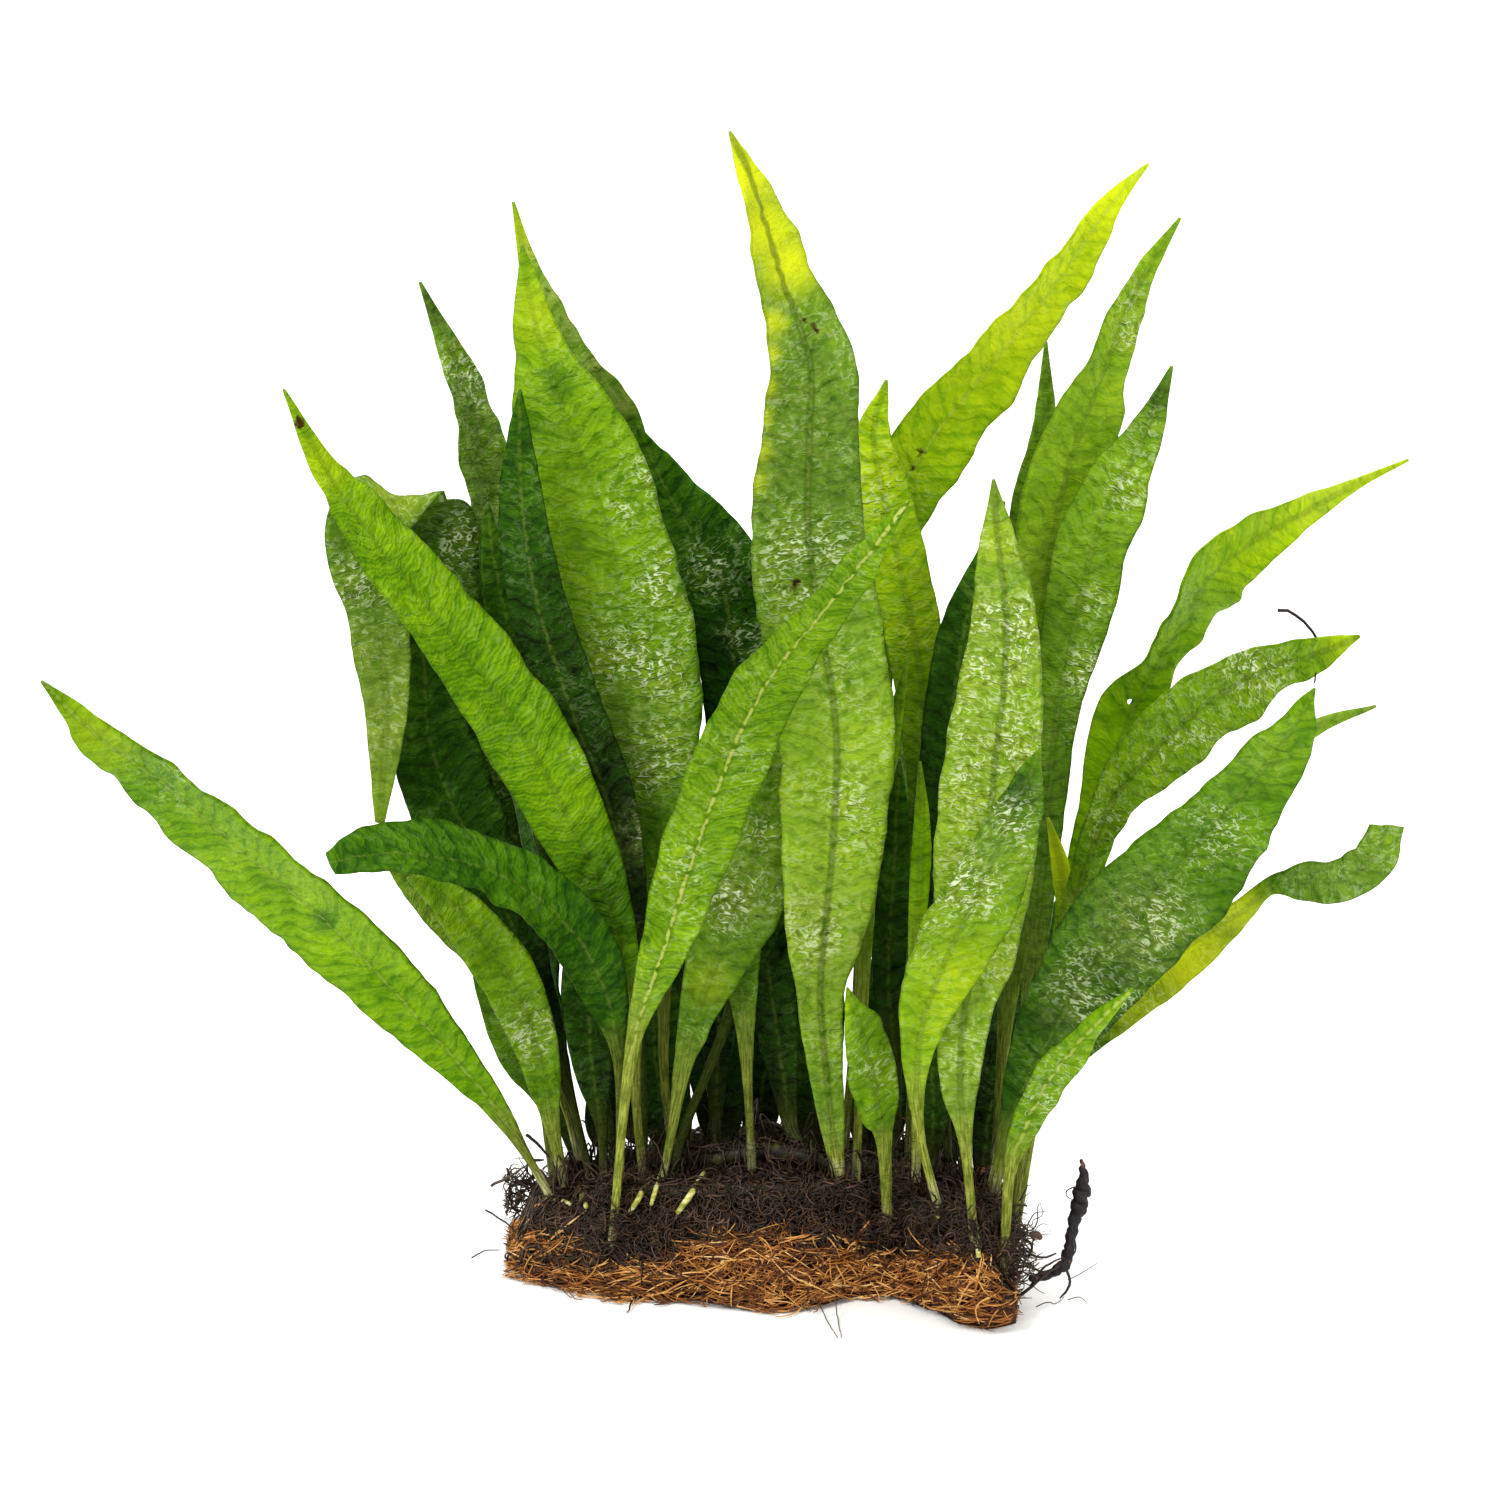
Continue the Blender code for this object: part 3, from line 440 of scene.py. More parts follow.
# %% The frond table
# name, colour, (across, depth) of the foot, depth of the tip, fold of the blade in degrees,
# turns of the blade from foot to tip in degrees, and the midrib as (across, up, width)
FRONDS = (
    # Left side, from the front to the back
    ("frond_01", "bright", (-53, 9), -22, 8, (0, -15, -50, -55, -40),
     ((-59.5, 39, 2.4), (-67.7, 51.6, 6.5), (-81.9, 68.4, 13.5), (-99.8, 88, 20.5),
      (-111.5, 99.5, 20.5), (-127, 112.3, 18.5), (-149, 131, 14.5), (-165.5, 143, 9.5),
      (-180.5, 157, 0.8))),
    ("frond_02", "bright", (-30, 2), -16, 10, (0, 5, 15, 50, 55),
     ((-32, 52, 2.4), (-33, 75, 5), (-38, 98, 11), (-46, 117, 17), (-60, 143, 21),
      (-78, 168, 18), (-96, 190, 14), (-108.8, 208, 7), (-120, 230, 0.8))),
    ("frond_24", "dark", (-36, -4), -44, 10, (0, 15, 55, 55),
     ((-36, 56, 2.4), (-37, 68, 5), (-40, 80, 12), (-46, 92, 15), (-57, 103, 14), (-70, 110, 13),
      (-86.4, 113.6, 13.5), (-98, 113.5, 10.5), (-108.4, 111.5, 5.5))),
    ("frond_25", "bright", (-49.5, 13), -6, 8, (0, 5, 20),
     ((-53, 46, 4), (-55.5, 60, 9.5), (-61.3, 78, 14), (-70, 92, 14), (-80, 103, 9),
      (-89, 108, 0.8))),
    ("frond_26", "mid", (-52.5, 18), 12, 8, (0, -15, -15),
     ((-53.5, 42, 3), (-55.2, 52, 4), (-61.8, 64.4, 10), (-66.3, 78, 10), (-70, 87, 7),
      (-73, 96, 0.8))),
    ("frond_25b", "pale", (-46, 24), 14, 8, (0, 15, 15),
     ((-50, 52, 2.4), (-57, 72, 8), (-69, 91, 15), (-81, 102, 13), (-88, 107, 8), (-94, 111, 0.8))),
    ("frond_27", "dark", (-40, 8), 6, 8, (0, 15, 0),
     ((-40.5, 45, 3), (-43, 60, 9), (-44, 75, 13), (-45, 90, 11), (-48, 105, 5), (-50, 112, 0.8))),
    ("frond_28", "dark", (-43, 14), 22, 10, (0, 15, 30),
     ((-48, 52, 2.4), (-56, 78, 9), (-66, 103, 16), (-77, 124, 22), (-84, 144, 20),
      (-85, 160, 12), (-87, 176, 0.8))),
    ("frond_05b", "mid", (-30, 7), 3, 8, (0, -15, -15),
     ((-30.5, 60, 2.4), (-32, 85, 5), (-35, 110, 11), (-40, 130, 15), (-48, 150, 16),
      (-56, 175, 15), (-60, 198, 12), (-61, 216, 7), (-61, 230, 0.8))),
    ("frond_29", "dark", (-37, 18), 24, 8, (0, 15, 15),
     ((-41, 62, 2.4), (-46, 92, 6), (-53, 125, 11), (-60, 152, 12), (-65, 175, 10),
      (-68, 190, 6), (-69, 202, 0.8))),
    ("frond_03", "mid", (-45, 29), 20, 6, (0,),
     ((-51, 58, 2.4, 0), (-60, 88, 10, 1), (-70, 120, 18, 3), (-79, 150, 24, 5),
      (-84, 178, 27, 6), (-86, 198, 27.5, 4), (-90.5, 203, 22.5, -4), (-99.6, 195, 20.5, -10),
      (-96.5, 174, 16, -13), (-94.5, 150, 11, -13), (-96, 122, 2.5, -12))),
    ("frond_04", "mid", (-40, 32), 52, 8, (0, 5, 15, 50, 55),
     ((-45, 75, 2.4), (-52, 110, 7), (-59, 150, 13), (-65.5, 185, 14), (-70, 210, 11),
      (-75.5, 232, 8), (-86, 257, 0.8))),
    ("frond_06", "bright", (-23, 11), 19, 9, (0, -5, -10, -25, -50),
     ((-25, 60, 2.4), (-25, 90, 5), (-26, 115, 12), (-28, 135, 22), (-30, 152, 30),
      (-34, 172, 33), (-40, 198, 30), (-47, 217, 29), (-54.5, 238, 15), (-58, 252, 8),
      (-60.5, 266, 0.8))),
    ("frond_05", "pale", (-19, 24), 62, 8, (0, -5, -15, -40, -50),
     ((-21.5, 62, 6), (-23, 95, 9), (-28, 140, 12), (-34, 188, 16), (-39.3, 218, 21),
      (-46.3, 233, 14), (-53, 247, 9.5), (-59, 262, 4.5), (-62.7, 277, 0.8))),
    ("frond_07", "dark", (-12, 20), 34, 8, (0, 5, 15, 35),
     ((-12, 52, 4), (-11, 78, 10), (-9, 105, 12), (-7, 135, 14), (-7.5, 160, 18),
      (-11.3, 183.5, 22), (-21.7, 200, 16.5), (-27.5, 211, 9), (-31.5, 221, 0.8))),

    # Middle, from the front to the back
    ("frond_09", "bright", (-38, -9), -40, 8, (0, 20, 40, 50),
     ((-35, 50, 2.4), (-32, 70, 4.5), (-26, 88, 11), (-20, 107, 16), (-12, 130, 18),
      (-4, 149, 17), (4, 162, 14), (14, 174, 10), (25, 188, 7), (36, 202, 0.8))),
    ("frond_34", "bright", (31, -9), -34, 8, (0, 30, 40),
     ((30, 42, 4), (28.5, 50, 10), (26.5, 60, 12), (24, 70, 9), (21, 80, 0.8))),
    ("frond_31", "mid", (-26, -3), -4, 8, (0, 15, 15),
     ((-23, 45, 2.4), (-20, 62, 5), (-15.5, 78, 11), (-10, 92, 18), (-5, 106, 21), (0, 125, 18),
      (2, 145, 12), (3, 163, 0.8))),
    ("frond_32", "mid", (-3, 0), 9, 8, (0, -15, -15),
     ((-4, 55, 2.4), (-5, 75, 6), (-7, 95, 14), (-9, 115, 16), (-9, 138, 11), (-8, 158, 0.8))),
    ("frond_08", "bright", (19, -8), -20, 9, (0, 5, -5, 5, 40, 65),
     ((16, 55, 8), (14, 78, 12), (15.5, 98, 21), (17.5, 120, 26), (18, 146, 29), (14, 172, 30),
      (11, 195, 28), (11.3, 220, 23.5), (11.3, 237, 21), (4.8, 256, 14.5), (0.2, 271, 10),
      (-4.1, 284, 5.5), (-8.5, 294.5, 0.8))),
    ("frond_33", "dark", (-23, 3), 19, 8, (0, 15, 15),
     ((-20, 45, 2.4), (-10, 70, 3), (-2, 92, 8), (6, 115, 13), (10, 138, 12), (12, 165, 0.8))),
    ("frond_42", "dark", (9, 8), 21, 8, (0, -15),
     ((6.5, 47, 4), (3.5, 68, 10), (0.5, 90, 13), (-2, 112, 12), (-3, 130, 8), (-4, 146, 0.8))),
    ("frond_13", "pale", (23, -1), 0, 6, (0,),
     ((24, 60, 2.4), (25, 90, 4), (27, 118, 5), (31, 140, 5), (36, 163, 0.8))),
    ("frond_10", "bright", (20, 20), 46, 9, (0, 5, 30, 55, 55),
     ((23, 75, 2.4), (25, 110, 4), (27, 145, 8), (28, 175, 12), (31, 198, 17.5),
      (41, 216.5, 19.5), (53, 232, 16), (64.6, 246.5, 12.5), (74.6, 259.5, 10.5),
      (86.2, 276, 5.5), (96, 286.5, 0.8))),
    ("frond_12", "mid", (36, 13), 26, 8, (0, -5, -15, -30),
     ((37.5, 72, 2.4), (39.5, 105, 6), (41, 135, 11), (39, 160, 14), (34.5, 184, 14),
      (29.5, 206, 13.5), (27.6, 219, 8.5), (30.6, 232.5, 0.8))),
    ("frond_35", "dark", (33, 24), 30, 8, (0, 15),
     ((33, 60, 3), (31, 82, 8), (32, 105, 10), (33, 122, 7), (34, 138, 0.8))),
    ("frond_35b", "bright", (38, -4), -5, 6, (0,),
     ((38, 60, 2.4), (38, 90, 4), (39, 108, 5), (39.5, 122, 4), (39, 137, 0.8))),
    ("frond_43", "dark", (41, 2), 3, 8, (0, 15),
     ((42, 42, 5), (42.3, 52, 9), (42, 61, 8), (43, 70, 0.8))),
    ("frond_36", "dark", (46, 8), 10, 8, (0, 15),
     ((45, 65, 2.4), (44, 92, 6), (44.5, 120, 12), (47, 150, 14.5), (50.3, 172, 11.5),
      (55.7, 188, 6), (60, 202, 0.8))),

    # Right side, from the front to the back
    ("frond_23", "bright", (60, -28), -56, 8, (0, 30, 55),
     ((61.4, 34, 3), (65, 45, 7), (70, 56, 9), (76, 64, 8), (83, 72, 5), (92, 80, 0.8))),
    ("frond_15", "bright", (44, -23), -60, 9, (0, 20, 40, 40),
     ((39, 44, 2.4), (38, 60, 6), (40, 74, 13), (44.5, 86, 18), (50, 98, 20), (57, 113, 17),
      (63, 127, 11), (69, 140, 0.8))),
    ("frond_14", "pale", (53, -28), -27, 9, (0, -15, -30, -30),
     ((50.5, 40, 3), (49, 58, 10), (50.5, 76, 14), (53.5, 92, 20), (55.5, 110, 24),
      (57.5, 132, 24), (60, 155, 20), (60.8, 172, 15.5), (59, 190, 9.5), (57.4, 207.5, 0.8))),
    ("frond_21", "dark", (57, -20), -58, 9, (0, 15, 35, 35),
     ((61, 46, 5), (68, 62, 15), (78, 79, 24), (90.6, 96.6, 30), (105.2, 112.6, 28.5),
      (118.5, 128.3, 20), (129.6, 142, 13.5), (137.5, 155, 0.8))),
    ("frond_22", "bright", (61, -14), -34, 7, (0, 10, 20, 60, 35, 30),
     ((66, 46, 2.4), (75, 61, 5), (92, 79, 13), (105, 90.5, 14), (118.4, 99.2, 6.8),
      (126, 105.7, 4.2), (134, 107.5, 9), (144.4, 107.8, 10.5), (152, 113, 11), (155.6, 121.2, 9))),
    ("frond_20b", "pale", (62, -7), -14, 5, (0, 15),
     ((70, 58, 2.4), (83, 84, 3), (99, 109, 4), (119, 130, 4.5), (137, 145, 4), (153, 151, 0.8))),
    ("frond_20", "mid", (61, -1), 0, 8, (0, 15, 40, 50),
     ((66, 60, 2.4), (72, 82, 5), (78.5, 104.5, 6.5), (86.3, 126, 10.5), (98.5, 141, 18.5),
      (111.5, 152.5, 18.5), (125.5, 160.5, 13.5), (138.5, 164.5, 8), (149, 168.5, 0.8))),
    ("frond_38", "bright", (57, 4), 6, 6, (0,),
     ((62, 55, 2.4), (70, 78, 3), (75, 98, 4.5), (74, 111, 4.5), (71, 123, 0.8))),
    ("frond_19", "bright", (60, 8), 34, 8, (0, 10, 10, 65, 30, 20),
     ((68, 60, 2.4), (73, 80, 4), (78, 102, 8.5), (83.8, 124, 11.5), (91, 147.5, 18), (98, 161, 10),
      (103.5, 171, 9.5), (110.7, 183, 16), (120.6, 191.2, 14), (133, 198.5, 8.5),
      (148, 206.5, 3), (161, 212.5, 0.8))),
    ("frond_17", "mid", (57, 17), 36, 8, (0, -15, -15, -40),
     ((64, 65, 2.4), (68, 92, 6), (71, 125, 8.5), (73.6, 150, 11), (78.5, 174, 17),
      (83, 193, 18), (89, 206.5, 16), (95.5, 219, 8.5), (102, 236, 0.8))),
    ("frond_39", "dark", (54, 28), 34, 8, (0, 15),
     ((56.5, 50, 9), (62.5, 66, 10), (68, 82, 11), (73.5, 97, 7), (78, 110, 0.8))),
    ("frond_16", "bright", (57, 22), 52, 9, (0, 5, 15, 40, 50),
     ((59.5, 62, 3), (62, 90, 7), (65, 120, 9), (67, 145, 12), (69, 170, 18), (73, 198, 21),
      (77.5, 216, 19.5), (85.2, 236, 11.5), (93.2, 256, 6.5), (104, 273, 0.8))),
    ("frond_18", "mid", (49, 30), 66, 6, (0,),
     ((55, 90, 2.4), (60, 130, 5), (64, 170, 8), (65.7, 200, 8.5), (70, 219, 6.5),
      (70.5, 242, 0.8))),

    # Back of the clump
    ("frond_44", "mid", (-30, 34), 104, 9, (0, 35, 50),
     ((-32, 46, 8), (-32, 60, 11), (-33, 92, 13), (-37, 130, 17), (-39, 155, 18), (-40, 178, 9),
      (-41, 192, 0.8))),
    ("frond_45", "dark", (0, 36), 112, 9, (0, -35, -50),
     ((-1, 46, 8), (0.5, 60, 12), (7, 95, 15), (9, 135, 19), (10, 168, 20), (10, 190, 11),
      (10, 206, 0.8))),
    ("frond_46", "mid", (28, 34), 98, 9, (0, 40, 50),
     ((25, 46, 8), (27, 62, 12), (33, 88, 13), (37, 120, 16), (40, 145, 17), (40, 165, 9),
      (39, 180, 0.8))),
    ("frond_47", "dark", (44, 31), 92, 9, (0, 40, 55),
     ((47.5, 44, 7), (50.5, 58, 10), (55, 80, 13), (60, 112, 18), (63, 138, 17), (64, 160, 9),
      (64, 176, 0.8))),
    ("frond_48", "dark", (-44, 35), 90, 9, (0, -40, -55),
     ((-50, 48, 5), (-53, 62, 9), (-56, 84, 12), (-59, 108, 16), (-63, 130, 16), (-66, 148, 9),
      (-68, 162, 0.8))),

    # Young fronds low down between the stalks
    ("frond_49", "dark", (-25, 20), 23, 8, (0, 15),
     ((-23.8, 46, 12), (-27, 62, 14), (-28, 80, 13), (-29, 98, 0.8))),
    ("frond_50", "dark", (-10, 27), 40, 8, (0, -15),
     ((-11, 47, 11), (-12, 63, 14), (-15, 82, 12), (-16, 100, 0.8))),
    ("frond_51", "dark", (12, 24), 34, 8, (0, 15),
     ((12, 45, 8), (13, 62, 13), (14, 82, 12), (15, 98, 0.8))),
    ("frond_52", "dark", (25, 27), 38, 8, (0, -15),
     ((29.5, 44, 10), (31, 62, 12), (30, 80, 10), (29, 94, 0.8))),
    ("frond_53", "dark", (-37, 27), 32, 8, (0, 15),
     ((-39.6, 46, 10.5), (-38, 62, 10), (-39, 80, 8), (-40, 92, 0.8))),
)
print("fronds", len(FRONDS))

# %% [markdown]
# ## How each frond looks
# Age and light set a frond's colour: young ones are yellow-green, old ones dark, and an
# underside is pale and hazy. Each colour name stands for a shade along the frond from foot to
# tip, with some haze and wetness, and the near-black feet are painted shade among the stalks.
# A few fronds have marks of their own: golden tips, brown spots, and patches of painted shade
# and painted light, placed where the front view shows them.

# %% Shades and marks
SHADES = {
    # (shade from foot to tip), haze, wet
    "bright": ((0.36, 0.52, 0.62, 0.62, 0.66), 0.05, 0.15),
    "mid": ((0.22, 0.36, 0.46, 0.48, 0.52), 0.10, 0.15),
    # The dark fronds' near-black feet are painted shade deep among the stalks
    "dark": ((0.02, 0.08, 0.20, 0.28, 0.32), 0.04, 0.05),
    "pale": ((0.45, 0.56, 0.62, 0.62, 0.62), 0.45, 0.15),
}
OWN_SHADES = {
    # frond_05b and frond_07 are painted near black low down, as shade between the fronds around them
    "frond_05b": ((0.02, 0.06, 0.10, 0.14, 0.26, 0.32), 0.03, 0.08),
    "frond_01": ((0.44, 0.54, 0.60, 0.64, 0.56, 0.52), 0.02, 0.05),
    "frond_02": ((0.28, 0.40, 0.50, 0.54, 0.62, 0.70), 0.03, 0.06),
    "frond_03": ((0.24, 0.34, 0.35, 0.38, 0.47, 0.70), 0.05, 0.25),
    "frond_04": ((0.20, 0.30, 0.40, 0.46, 0.50), 0.32, 0.25),
    "frond_05": ((0.20, 0.30, 0.42, 0.56, 0.66), 0.15, 0.10),
    "frond_06": ((0.30, 0.44, 0.54, 0.60, 0.66, 0.62), 0.08, 0.12),
    "frond_07": ((0.03, 0.06, 0.14, 0.30, 0.38), 0.00, 0.03),
    "frond_08": ((0.46, 0.70, 0.66, 0.42, 0.60, 0.66), 0.32, 0.20),
    "frond_09": ((0.46, 0.58, 0.62, 0.60, 0.58, 0.60), 0.08, 0.15),
    "frond_10": ((0.20, 0.38, 0.64, 0.84, 0.92, 0.94), 0.02, 0.04),
    "frond_12": ((0.20, 0.46, 0.72, 0.84, 0.80), 0.06, 0.15),
    "frond_14": ((0.45, 0.64, 0.72, 0.68, 0.60), 0.42, 0.35),
    "frond_15": ((0.52, 0.70, 0.72, 0.60, 0.50), 0.10, 0.15),
    "frond_16": ((0.26, 0.48, 0.66, 0.70, 0.68), 0.20, 0.05),
    "frond_17": ((0.18, 0.40, 0.54, 0.62, 0.60), 0.20, 0.10),
    "frond_18": ((0.30, 0.40, 0.50, 0.50), 0.25, 0.05),
    "frond_19": ((0.38, 0.56, 0.66, 0.64, 0.84, 0.92), 0.00, 0.02),
    "frond_20": ((0.44, 0.56, 0.66, 0.66, 0.66), 0.06, 0.20),
    "frond_21": ((0.28, 0.30, 0.34, 0.52, 0.58), 0.05, 0.08),
    "frond_22": ((0.36, 0.36, 0.38, 0.44, 0.52), 0.10, 0.20),
    "frond_24": ((0.20, 0.26, 0.30, 0.32, 0.36), 0.02, 0.04),
    "frond_25": ((0.40, 0.56, 0.62, 0.60), 0.08, 0.12),
    "frond_31": ((0.30, 0.46, 0.54, 0.52), 0.15, 0.15),
    "frond_13": ((0.50, 0.60, 0.60, 0.60), 0.10, 0.05),
    "frond_35b": ((0.50, 0.64, 0.64, 0.60), 0.02, 0.02),
}
# PAINTED_SHADE marks paint shade on folds and on parts that other fronds shade, and LIT marks paint
# light
GOLDEN, BROWNED, PAINTED_SHADE, PALED, WETTED, LIT = range(6)
MARKS = {
    # (across, up, radius, kind, strength)
    "frond_01": ((-110, 98, 3, PAINTED_SHADE, 0.3), (-168, 146, 12, GOLDEN, 0.2),
                 (-150, 132, 8, WETTED, 0.35), (-60, 42, 8, PAINTED_SHADE, 0.15)),
    "frond_02": ((-116, 222, 2.5, BROWNED, 0.8), (-111, 212, 8, GOLDEN, 0.25),
                 (-50, 131, 13, LIT, 0.14), (-46, 138, 5, WETTED, 0.3),
                 (-40, 106, 9, PAINTED_SHADE, 0.15)),
    "frond_03": ((-92, 206, 9, GOLDEN, 0.2), (-97, 150, 22, PALED, 0.3),
                 (-75, 193, 8, WETTED, 0.7), (-100, 180, 9, WETTED, 0.5)),
    "frond_04": ((-76, 233, 9, WETTED, 0.6), (-84, 252, 6, PAINTED_SHADE, 0.25)),
    "frond_05": ((-58, 265, 4, PALED, 0.8), (-52, 256, 4, PALED, 0.9), (-47, 247, 5, PALED, 0.9),
                 (-41, 238, 5, PALED, 0.9), (-35, 228, 5, PALED, 0.7), (-61, 270, 7, GOLDEN, 0.4)),
    "frond_05b": ((-28, 122, 6, WETTED, 1.0), (-28, 122, 5, PALED, 0.5), (-34, 116, 8, PALED, 0.2)),
    "frond_06": ((-31, 205, 8, WETTED, 1.0), (-26, 182, 8, WETTED, 1.0), (-30, 165, 14, WETTED, 1.0),
                 (-29, 139, 10, WETTED, 0.8), (-30, 146, 18, PALED, 0.22),
                 (-56, 250, 9, GOLDEN, 0.3), (-52, 232, 5, PAINTED_SHADE, 0.2),
                 (-56, 220, 8, PAINTED_SHADE, 0.12)),
    "frond_07": ((-11, 186, 9, WETTED, 0.7), (-6, 168, 6, WETTED, 0.5)),
    "frond_08": ((7, 182, 3, BROWNED, 0.5), (10, 248, 5, BROWNED, 0.45), (6, 262, 8, GOLDEN, 0.9),
                 (0, 270, 9, GOLDEN, 0.9), (-5, 283, 10, GOLDEN, 0.9), (-8, 293, 8, GOLDEN, 0.9),
                 (2, 247, 3.5, GOLDEN, 0.7), (1, 239, 3, GOLDEN, 0.6), (0, 231, 3, GOLDEN, 0.6),
                 (-1, 223, 3, GOLDEN, 0.5), (-1, 215, 3, GOLDEN, 0.5), (-2, 207, 3, GOLDEN, 0.4),
                 (11, 186, 12, WETTED, 0.8), (19, 160, 8, WETTED, 0.7), (13, 95, 9, WETTED, 0.5),
                 (20, 125, 10, WETTED, 0.5), (8, 240, 6, PAINTED_SHADE, 0.12),
                 (16, 92, 18, PALED, 0.3)),
    "frond_09": ((-18, 108, 9, WETTED, 0.45), (-6, 139, 8, WETTED, 0.35), (10, 170, 12, LIT, 0.06),
                 (-30, 76, 8, PALED, 0.25)),
    "frond_10": ((39, 212, 4, BROWNED, 0.55), (88, 277, 12, GOLDEN, 0.35), (62, 244, 16, GOLDEN, 0.2),
                 (38, 200, 8, WETTED, 0.2)),
    "frond_12": ((30, 200, 8, WETTED, 0.5), (41, 120, 14, PAINTED_SHADE, 0.15)),
    "frond_14": ((60, 168, 12, WETTED, 0.8), (56, 140, 14, WETTED, 0.6), (58, 192, 6, GOLDEN, 0.2),
                 (52, 105, 12, PALED, 0.1)),
    "frond_15": ((58, 120, 9, WETTED, 1.0), (50, 106, 10, WETTED, 1.0), (40, 94, 6, WETTED, 0.8),
                 (64, 128, 7, PAINTED_SHADE, 0.3), (50, 82, 12, GOLDEN, 0.14), (54, 112, 12, PALED, 0.2)),
    "frond_16": ((92, 244, 5, WETTED, 0.8), (92, 254, 5, WETTED, 0.6), (70, 185, 10, PALED, 0.15)),
    "frond_17": ((99, 229, 6, PAINTED_SHADE, 0.35), (95, 220, 7, WETTED, 1.0), (90, 205, 6, WETTED, 0.7),
                 (82, 176, 5, WETTED, 0.6), (81, 160, 6, WETTED, 1.0), (78, 145, 5, WETTED, 0.6)),
    "frond_19": ((140, 205, 12, PALED, 0.4), (124, 198, 7, PALED, 0.3), (94, 152, 12, PAINTED_SHADE, 0.06)),
    "frond_20": ((122, 160, 9, WETTED, 0.8), (104, 142, 10, WETTED, 0.6), (88, 120, 9, WETTED, 0.4),
                 (144, 168, 6, GOLDEN, 0.3)),
    "frond_21": ((84, 79, 11, WETTED, 1.0), (97, 97, 10, WETTED, 0.7), (95, 96, 14, PALED, 0.35),
                 (113, 119, 9, WETTED, 0.6), (76, 76, 9, PALED, 0.2), (126, 138, 8, PALED, 0.12)),
    "frond_22": ((104, 90, 13, GOLDEN, 0.75), (92, 79, 10, GOLDEN, 0.45), (118, 100, 8, GOLDEN, 0.5),
                 (148, 113, 14, PALED, 0.25)),
    "frond_23": ((70, 56, 9, WETTED, 0.7),),
    "frond_24": ((-60, 106, 10, LIT, 0.06),),
    "frond_25": ((-59, 70, 8, WETTED, 0.6), (-59, 68, 8, PALED, 0.25)),
    "frond_31": ((-7, 102, 9, WETTED, 1.0), (-6, 104, 11, PALED, 0.3), (0, 120, 8, WETTED, 0.5),
                 (-14, 82, 6, GOLDEN, 0.2)),
    "frond_38": ((73, 114, 10, GOLDEN, 0.7),),
    "frond_34": ((26, 60, 7, WETTED, 0.4),),
}
RIBS = {
    # how strongly a pale midrib, the painted shade of its furrows and a fine comb of veins show
    "frond_01": (0.25, 0.3, 0.5),
    "frond_02": (0.05, 0.3, 1.0),
    "frond_06": (0.05, 0.2, 0.6),
    "frond_08": (0.15, 0.6, 0.5),
    "frond_09": (0.9, 0.3, 1.0),
    "frond_10": (0.35, 0.1, 0.3),
    "frond_14": (0.1, 0.5, 0.5),
    "frond_20": (0.15, 0.4, 0.6),
    "frond_23": (0.6, 0.2, 0.3),
}
PLAIN_RIB = (0.1, 0.3, 0.4)
HOLES = {
    # (across, up, radius)
    "frond_19": ((91.5, 151.5, 0.8),),
}

# %% Building a frond
STALK = 2.3
BLADE = 0.6
ROW = 1.3
COLUMNS = 16
RIPPLE = 1.0
QUILT = 0.7
SEED_STEP = 41.0


def marks_at(name, point):
    """How golden, brown, darkened by painted shade, pale, wet and brightened by painted light a
    frond's marks make a point.
    """
    found = [0.0] * 6
    across, up = shown_at(point)
    for u, v, radius, kind, strength in MARKS.get(name, ()):
        near = 1 - math.hypot(across - u, up - v) / radius / 1.6
        found[kind] = max(found[kind], strength * smooth(near))
    return found


